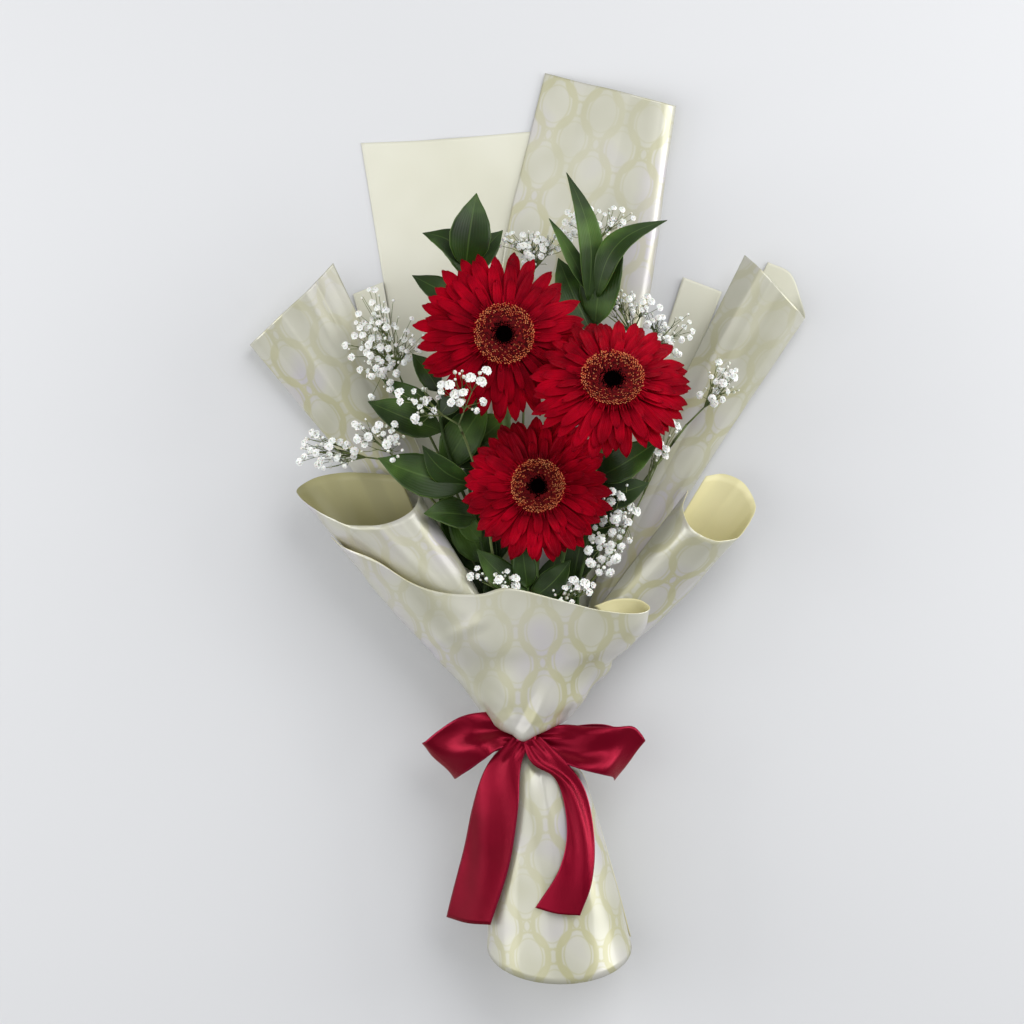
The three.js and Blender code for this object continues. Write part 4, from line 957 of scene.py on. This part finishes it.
# %% Grow the branches
for n, (name, slot, path, leaves) in enumerate(RUSCUS):
    dice = random.Random(90 + n)
    blades, wood = new_mesh(), new_mesh()
    for leaf in leaves:
        lay_grid(blades, to_frame(leaf_points(*leaf, dice)))
    tube(wood, stem_path(RUSCUS_RING, slot, path), np.linspace(*RUSCUS_STEM, 40), 8)
    bmesh.ops.transform(wood, matrix=TO_FRAME, verts=wood.verts)
    finish_piece(blades, name + "_leaves", [name], [leaf_gloss], LEAF_THICKNESS)
    finish_piece(wood, name + "_branch", [name], [branch_green])

# %% [markdown]
# ## Baby's breath
# Sprays of tiny double flowers, about 6 mm across, on wiry stalks that fork again and again. One
# flower is three rings of small bent petals, and its UV map runs out along each petal, so that the
# foot can be darker with painted shade. It is made once, then copied, turned and scaled to each place,
# and the smallest are plain buds. A place that would lie in a petal, a leaf or the film is left out.

# %% Floret finish
# Papery white petals, greener at their foot, and darker there as painted shade where they stand close.
floret_white, tree, surface = new_finish(
    "babys_breath_white", Roughness=0.7, Specular_IOR_Level=0.3, Subsurface_Weight=0.1,
    Subsurface_Scale=0.001,
)
from_foot, _ = strip_shares(tree)
# The grey-green at each petal's foot is partly painted shade between the crowded petals.
white_with_painted_foot_shade = add(tree, "ValToRGB", from_foot, stops=[(0.1, "#a9ae96"), (0.45, "#e2e4da"), (0.8, "#fbfbf7")])
fill(surface, Base_Color=white_with_painted_foot_shade)

# %% Sprays
SPRAYS = [  # place in the bundle, path, and clouds of flowers: middle, reach, how many, their size
    ("babys_breath_1", 8, [(-4, -40, 18), (-2, 90, 32), (2, 158, 48)],
     [((8, 183, 60), (27, 14, 10), 80, 0.78)]),
    ("babys_breath_2", 7, [(14, -40, 22), (24, 90, 30), (40, 173, 44)],
     [((46, 199, 58), (25, 17, 10), 46, 0.76)]),
    ("babys_breath_3", 5, [(34, -20, 30), (62, 60, 40), (76, 112, 50)],
     [((58, 145, 66), (28, 11, 10), 54, 0.82), ((92, 130, 62), (18, 21, 10), 50, 0.82)]),
    ("babys_breath_4", 4, [(34, -40, 36), (66, 16, 40), (104, 68, 50)],
     [((129, 93, 62), (19, 20, 10), 38, 0.9)]),
    ("babys_breath_5", 10, [(-26, -30, 28), (-54, 40, 30), (-80, 92, 44)],
     [((-93, 121, 54), (26, 35, 12), 128, 0.86)]),
    ("babys_breath_6", 12, [(-20, -60, 38), (-48, 0, 40), (-84, 44, 44)],
     [((-132, 50, 58), (23, 16, 10), 52, 0.88), ((-97, 57, 68), (19, 18, 7), 34, 0.96)]),
    ("babys_breath_7", 14, [(-10, -70, 52), (-22, -20, 60), (-28, 20, 68), (-38, 52, 74), (-44, 67, 92)],
     [((-66, 80, 88), (17, 16, 7), 22, 1.1), ((-36, 88, 113), (22, 16, 4.5), 22, 1.1)]),
    ("babys_breath_8", 15, [(-2, -88, 56), (-3, -70, 66)],
     [((-17, -30, 75), (20, 13, 6), 22, 1.02), ((31, -36, 73), (17, 13, 6), 22, 1.1)]),
    ("babys_breath_9", 3, [(24, -60, 40), (50, -24, 46), (62, -6, 54)],
     [((58, 11, 68), (15, 30, 8), 50, 1.08), ((45, -18, 70), (15, 17, 6), 22, 1.08),
      ((92, 57, 62), (14, 15, 7), 18, 0.94)]),
]

# %% One flower and one bud
PETAL_RINGS = [  # petals in a ring, their reach, rise and half width, for a flower of radius 1
    (6, 1.0, 0.1, 0.5), (5, 0.74, 0.5, 0.42), (3, 0.42, 0.8, 0.32),
]
flower = new_mesh()
depth = flower.loops.layers.uv["UVMap"]
for ring, (count, reach, rise, half) in enumerate(PETAL_RINGS):
    for k in range(count):
        turn = 2 * math.pi * (k + 0.37 * ring) / count
        ruffle = 0.16 * (-1) ** k
        rows = []
        for t, width in ((0, 0.3), (0.6, 1), (1, 0.62)):
            out, z = 0.08 + (reach - 0.08) * t, rise + 0.3 * math.sin(2.2 * t) - 0.35 * t * t
            rows.append([in_flower(turn, out, side * half * width,
                                   z - 0.12 * side * side + ruffle * side * t) for side in (-1, 0, 1)])
        for loop in [loop for face in lay_grid(flower, rows) for loop in face.loops]:
            loop[depth].uv = (min(1, loop.vert.co.xy.length / reach), 0.5)
FLOWER_MESH = as_mesh(flower, "floret")
bud = new_mesh()
bmesh.ops.create_uvsphere(bud, u_segments=6, v_segments=4, radius=1, calc_uvs=True)
BUD_MESH = as_mesh(bud, "bud")
print("faces of a flower and a bud:", len(FLOWER_MESH.polygons), len(BUD_MESH.polygons))

# %% Room for the flowers
shown = bpy.context.evaluated_depsgraph_get()
walls = [BVHTree.FromObject(o, shown) for o in bpy.data.objects
         if o.type == "MESH" and o.name.startswith(("film_", "gerbera_", "ruscus_")) and "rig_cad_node" not in o]


def is_free(point, gap):
    """Whether a place in the drawing is at least gap millimetres from film, petals and leaves."""
    there = Vector(to_frame(point))
    nearest = (wall.find_nearest(there)[3] for wall in walls)
    return all(distance is None or distance > gap * MM for distance in nearest)


def in_cloud(reach, dice):
    """A random place in an ellipsoid, but not near its middle."""
    while True:
        p = Vector((dice.uniform(-1, 1), dice.uniform(-1, 1), dice.uniform(-1, 1)))
        if 0.3 < p.length < 1:
            return Vector((p.x * reach[0], p.y * reach[1], p.z * reach[2]))


print("pieces that the flowers keep clear of:", len(walls))


# %% Grow the sprays
# A spray's stem ends in a hub for each cloud, the hub forks, and each flower has a stalk with a knee.
FLOWER_RADII = (0.9, 1.3, 2.0, 2.6, 3.0, 3.3)  # mm, at scale 1
LEAST_FLOWER = 1.5  # a smaller one is a bud, mm
TRIES = 20  # for each flower, to find a free place
HUB, FORK = 0.45, 0.55  # shares of the way to a cloud's middle and to a fork's place
FORK_REACH, FLOWER_REACH = 0.72, 0.46  # of a cloud's reach
ROOM, CROWDING = 0.8, 0.82  # least distances to other pieces and to other flowers, in radii
for n, (name, slot, path, clouds) in enumerate(SPRAYS):
    dice = random.Random(120 + n)
    wood, flowers = new_mesh(), new_mesh()
    tube(wood, stem_path(SPRAY_RING, slot, path), np.linspace(*SPRAY_STEM, 30), 6)
    top = Vector(path[-1])
    made = 0
    for centre, reach, count, scale in clouds:
        centre = Vector(centre)
        hub = top.lerp(centre, HUB)
        cone(wood, top, hub, 0.7, 0.55, 5)
        forks = [centre + in_cloud(reach, dice) * FORK_REACH for _ in range(max(4, count // 4))]
        joints = []
        for fork in forks:
            joint = hub.lerp(fork, FORK)
            cone(wood, hub, joint, 0.5, 0.4, 5)
            joints.append((joint, fork))
        placed = []
        for _ in range(TRIES * count):
            if len(placed) == count:
                break
            joint, fork = dice.choice(joints)
            spot = fork + in_cloud([FLOWER_REACH * r for r in reach], dice)
            size = scale * dice.choice(FLOWER_RADII)
            crowded = any((spot - p).length < CROWDING * (size + s) for p, s in placed)
            if crowded or not is_free(spot, ROOM * size):
                continue
            placed.append((spot, size))
            knee = joint.lerp(spot, 0.5) + Vector((dice.uniform(-1, 1), dice.uniform(-1, 1), -0.8))
            cone(wood, joint, knee, 0.26, 0.2, 4)
            cone(wood, knee, spot, 0.2, 0.18, 4)
            before = len(flowers.verts)
            flowers.from_mesh(FLOWER_MESH if size > LEAST_FLOWER else BUD_MESH)
            flowers.verts.ensure_lookup_table()
            turn = turned_to((spot - joint).normalized() + Vector((0, 0, 0.8)))
            spin = Matrix.Rotation(dice.uniform(0, 6), 4, "Z")
            bmesh.ops.transform(flowers, verts=flowers.verts[before:],
                                matrix=Matrix.Translation(spot) @ turn @ spin @ Matrix.Scale(size, 4))
        made += len(placed)
    for part in (wood, flowers):
        bmesh.ops.transform(part, matrix=TO_FRAME, verts=part.verts)
    print(f"{name}: {made} flowers")
    finish_piece(wood, name + "_stalks", [name], [stalk_green])
    finish_piece(flowers, name + "_flowers", [name], [floret_white])

# %% [markdown]
# ## The satin ribbon
# One length of single-faced satin, 30 mm wide, tied in a bow round the waist. Satin's threads lie
# nearly all one way and reflect in a broad streak. The strips are drawn through stations across the
# ribbon, and small lengthwise folds run out of the knot and fade.

# %% Satin finish
WEAVE = 900  # ridges along a strip: real threads are finer than the picture can show

# Polyester satin: deep crimson that turns pink along each fold, as its long threads lie one way.
satin, tree, surface = new_finish(
    "ribbon_satin_crimson", Metallic=0.5, Roughness=0.22, Specular_IOR_Level=0.6, Specular_Tint="#ff7c98",
    Anisotropic=0.3,
)
across_ribbon, along_ribbon = strip_shares(tree)
body = mottle(tree, 25, 2, (0.3, "#6b0217"), (0.7, "#7d0520"))
edge = add(tree, "MapRange", from_middle(tree, across_ribbon), 0.465, 0.485, 0, 0.55)
face = add(tree, "Mix", edge, body, "#9c2244", data_type="RGBA")
bump = add(tree, "Bump", Height=ridges(tree, along_ribbon, WEAVE), Strength=0.12, Distance=0.1 * MM)
grain = add(tree, "Tangent", direction_type="UV_MAP", uv_map="UVMap")
fill(surface, Base_Color=face, Normal=bump, Tangent=grain)


# %% Stations of the bow
def across(middle, half):
    """Three points across the ribbon: its middle, and half its width as a vector."""
    m, h = Vector(middle), Vector(half)
    return [m + h, m, m - h]


LOOP_LEFT = [across(*station) for station in (
    ((-2, -136, 57.5), (0, 4.5, 0)), ((-18, -131.5, 57), (-1, 11, -4)), ((-34, -135, 62.5), (-7.5, 13, -5)),
    ((-48, -144, 56.5), (-10, 12.5, -3)), ((-56.5, -151, 48), (-11, 11.5, 0)),
    ((-58, -152, 42), (-11, 11.5, 0)), ((-43, -144, 38), (-9, 12, 2)), ((-27, -138, 43), (-3, 9, 0)),
    ((-2, -137, 55), (0, 4, 0)),
)]
LOOP_RIGHT = [across(*station) for station in (
    ((2, -136, 57.5), (0, 4.5, 0)), ((20, -138.5, 57), (3, 11, -3)), ((38, -142.5, 62), (2.5, 14, -4)),
    ((53.5, -144.3, 60.5), (4, 15.5, -3)), ((62.5, -145.3, 55), (7, 16.3, -2)),
    ((67, -151.5, 47.5), (10, 13, 0)), ((63, -148, 41), (7, 13, 3)), ((47, -141, 38), (5, 13, 3)),
    ((28, -138, 43), (2, 9, 0)), ((2, -137, 55), (0, 4, 0)),
)]
TAIL_LEFT = [
    [(2, -137, 62), (-4, -137, 63), (-10, -135, 61)], [(-4, -153, 66), (-14, -153, 66.5), (-25, -152, 61)],
    [(-6, -183, 69), (-20.5, -183, 65.5), (-36, -182, 55)],
    [(-11.5, -216, 67), (-27.5, -216, 59), (-43, -214, 46)],
    [(-24, -257.5, 59), (-39, -257.5, 49), (-53, -255, 35)],
]
TAIL_RIGHT = [
    [(8, -135, 61), (2, -136.5, 63), (-4, -138, 62)], [(22, -148, 63), (13, -150.5, 66), (3, -152, 67)],
    [(37, -169, 64), (28, -167, 67), (18, -162, 67)], [(43.6, -201, 69.5), (35, -199, 71), (25.6, -194, 69.5)],
    [(41.5, -229, 74), (31, -226, 74.5), (21, -219, 72)], [(34, -249.5, 77), (19, -248.5, 76), (5, -245, 72.5)],
]

# %% Folds of a strip
RIBBON_WIDTH, RIBBON_THICKNESS = 30, 0.35  # mm
STRIPS = [  # stations, rows, height of the folds, ends that are gathered in the knot, phase of the swell
    (LOOP_LEFT, 90, 1.3, (1, 1), 0.4), (LOOP_RIGHT, 100, 1.3, (1, 1), 2.0),
    (TAIL_LEFT, 70, 1.2, (1, 0), 1.0), (TAIL_RIGHT, 80, 1.2, (1, 0), 3.0),
]
GATHER = 0.3  # share of a strip that is gathered near the knot
SWELL = 1.7  # how far the ribbon sways out of its plane, mm
POINTS_ACROSS = 21


def ribbon_points(stations, steps, fold, ends, phase):
    """Rows of places along a strip; ends says which ends of it are gathered in the knot."""
    rails = curve(np.array(stations, float), np.linspace(0, len(stations) - 1, steps))
    rows = np.array([curve(rail, np.linspace(0, 2, POINTS_ACROSS)) for rail in rails])
    along, side = np.gradient(rows, axis=0), np.gradient(rows, axis=1)
    normal = np.cross(side, along)
    normal /= np.linalg.norm(normal, axis=2, keepdims=True)
    t, s = np.linspace(0, 1, steps)[:, None], np.linspace(-1, 1, POINTS_ACROSS)[None, :]
    near = [np.clip(1 - away / GATHER, 0, 1) ** 1.5 for away in (t, 1 - t)]
    swell = np.sin(2 * math.pi * t) ** 2 if ends[1] else 0.6 * np.sin(math.pi * t)
    belly = SWELL * swell * np.sin(1.3 * math.pi * s + 9 * t + phase)
    gathered = near[0] * ends[0] + near[1] * ends[1]
    wave = fold * gathered * np.cos(2.5 * math.pi * s + 0.6) + belly
    return rows + normal * wave[:, :, None]


# %% Tie the bow
BAND_RADIUS = 20.1  # of the ribbon round the waist, mm
ring = np.array([[(BAND_RADIUS * math.cos(a), WAIST.y + y, WAIST.z + BAND_RADIUS * math.sin(a))
                  for y in np.linspace(BAND_HALF, -BAND_HALF, 9)] for a in np.linspace(0, 2 * math.pi, 97)])
bm = new_mesh()
length = 0
for rows in [*(ribbon_points(*strip) for strip in STRIPS), ring]:
    lay_grid(bm, to_frame(rows))
    middle = rows[:, rows.shape[1] // 2]
    length += np.linalg.norm(np.diff(middle, axis=0), axis=1).sum()
bow = finish_piece(bm, "satin_bow", ["satin_ribbon"], [satin], RIBBON_THICKNESS)
area = sum(face.area for face in bow.data.polygons) / MM**2
print(f"ribbon length {length:.0f} mm, area {area:.0f} mm2, mean width {area / length:.1f} mm")

# %% The knot
KNOT_MIDDLE, KNOT_HALVES = (-0.5, -137, 60.3), (7, 6.5, 4.2, 1)  # mm
knot = new_mesh()
bmesh.ops.create_uvsphere(knot, u_segments=40, v_segments=20, radius=1, calc_uvs=True)
for v in knot.verts:
    turn = math.atan2(v.co.z, v.co.x)
    v.co.xz *= 1 + 0.07 * math.cos(9 * turn + 2.5 * v.co.y)
knot_place = TO_FRAME @ Matrix.Translation(KNOT_MIDDLE) @ Matrix.Diagonal(KNOT_HALVES)
bmesh.ops.transform(knot, matrix=knot_place, verts=knot.verts)
tied = finish_piece(knot, "satin_knot", ["satin_ribbon"], [satin])

# %% [markdown]
# ## Tape round the stems
# The tie is hidden under the wrap. The CAD ring is the right shape, so it stays and gets a finish.

# %% Tape
# Stretched paper tape: pale green, finely crinkled, half matt.
tape = mottled("florist_tape", 300, 2, (0.3, "#b9c79a"), (0.7, "#d3dcb8"), Roughness=0.45)
frame["nodes"]["stem_tie"].material_slots[0].material = tape

# %% [markdown]
# ## Floor, light and camera
# The photograph's background is one pale grey. A large softbox from the upper right is the main
# light, two weaker ones from above keep the front from going dark, and one low softbox at each side
# draws the bright lines along the rolls of film. A pale world fills the shadows. The camera looks
# straight down.

# %% Floor
# Matt painted board: no shine, and hardly any unevenness.
board = mottled("studio_floor", 1.5, 1, (0.3, "#d6d7d9"), (0.7, "#dadbdd"), Roughness=0.95,
                Specular_IOR_Level=0.1)
FLOOR_HALF = 6  # m
bm = new_mesh()
bmesh.ops.create_grid(bm, x_segments=8, y_segments=8, size=FLOOR_HALF, calc_uvs=True)
floor = in_scene("floor", as_mesh(bm, "floor", [board]))

# %% Lights
SOFTBOXES = [  # place and aim in the drawing, mm, side in metres, watts
    ("key_softbox", (850, 1250, 1750), (0, 0, 40), 1.6, 24),
    ("fill_softbox", (-900, 0, 1700), (0, 0, 40), 1.4, 7.5),
    ("front_softbox", (-200, -700, 1900), (0, 0, 40), 1.2, 0.5),
    ("right_softbox", (1300, 200, 520), (60, 0, 40), 0.8, 10),
    ("left_softbox", (-1300, 60, 560), (-60, 0, 40), 0.8, 8),
]
for name, where, aim, side, watts in SOFTBOXES:
    lamp = bpy.data.lights.new(name, "AREA")
    lamp.size, lamp.energy = side, watts
    made = in_scene(name, lamp)
    made.location = to_frame(where)
    made.rotation_euler = (Vector(to_frame(aim)) - made.location).to_track_quat("-Z", "Y").to_euler()
    print(f"{name}: {watts} W")
world = bpy.data.worlds.new("studio")
world.use_nodes = True
fill(world.node_tree.nodes["Background"], Color="#f3f4f6", Strength=0.4)
bpy.context.scene.world = world
bpy.context.scene.view_settings.view_transform = "Standard"

# %% Camera
CAMERA_PLACE = (-10, 11, 2460)  # in the drawing, mm
SENSOR, FOCAL_LENGTH = 36, 129.8  # mm
lens = bpy.data.cameras.new("camera")
lens.sensor_width, lens.lens = SENSOR, FOCAL_LENGTH
camera = in_scene("camera", lens)
camera.location = to_frame(CAMERA_PLACE)
bpy.context.scene.camera = camera
print(f"camera {CAMERA_PLACE[2]} mm up, {math.degrees(lens.angle):.1f} degrees wide")
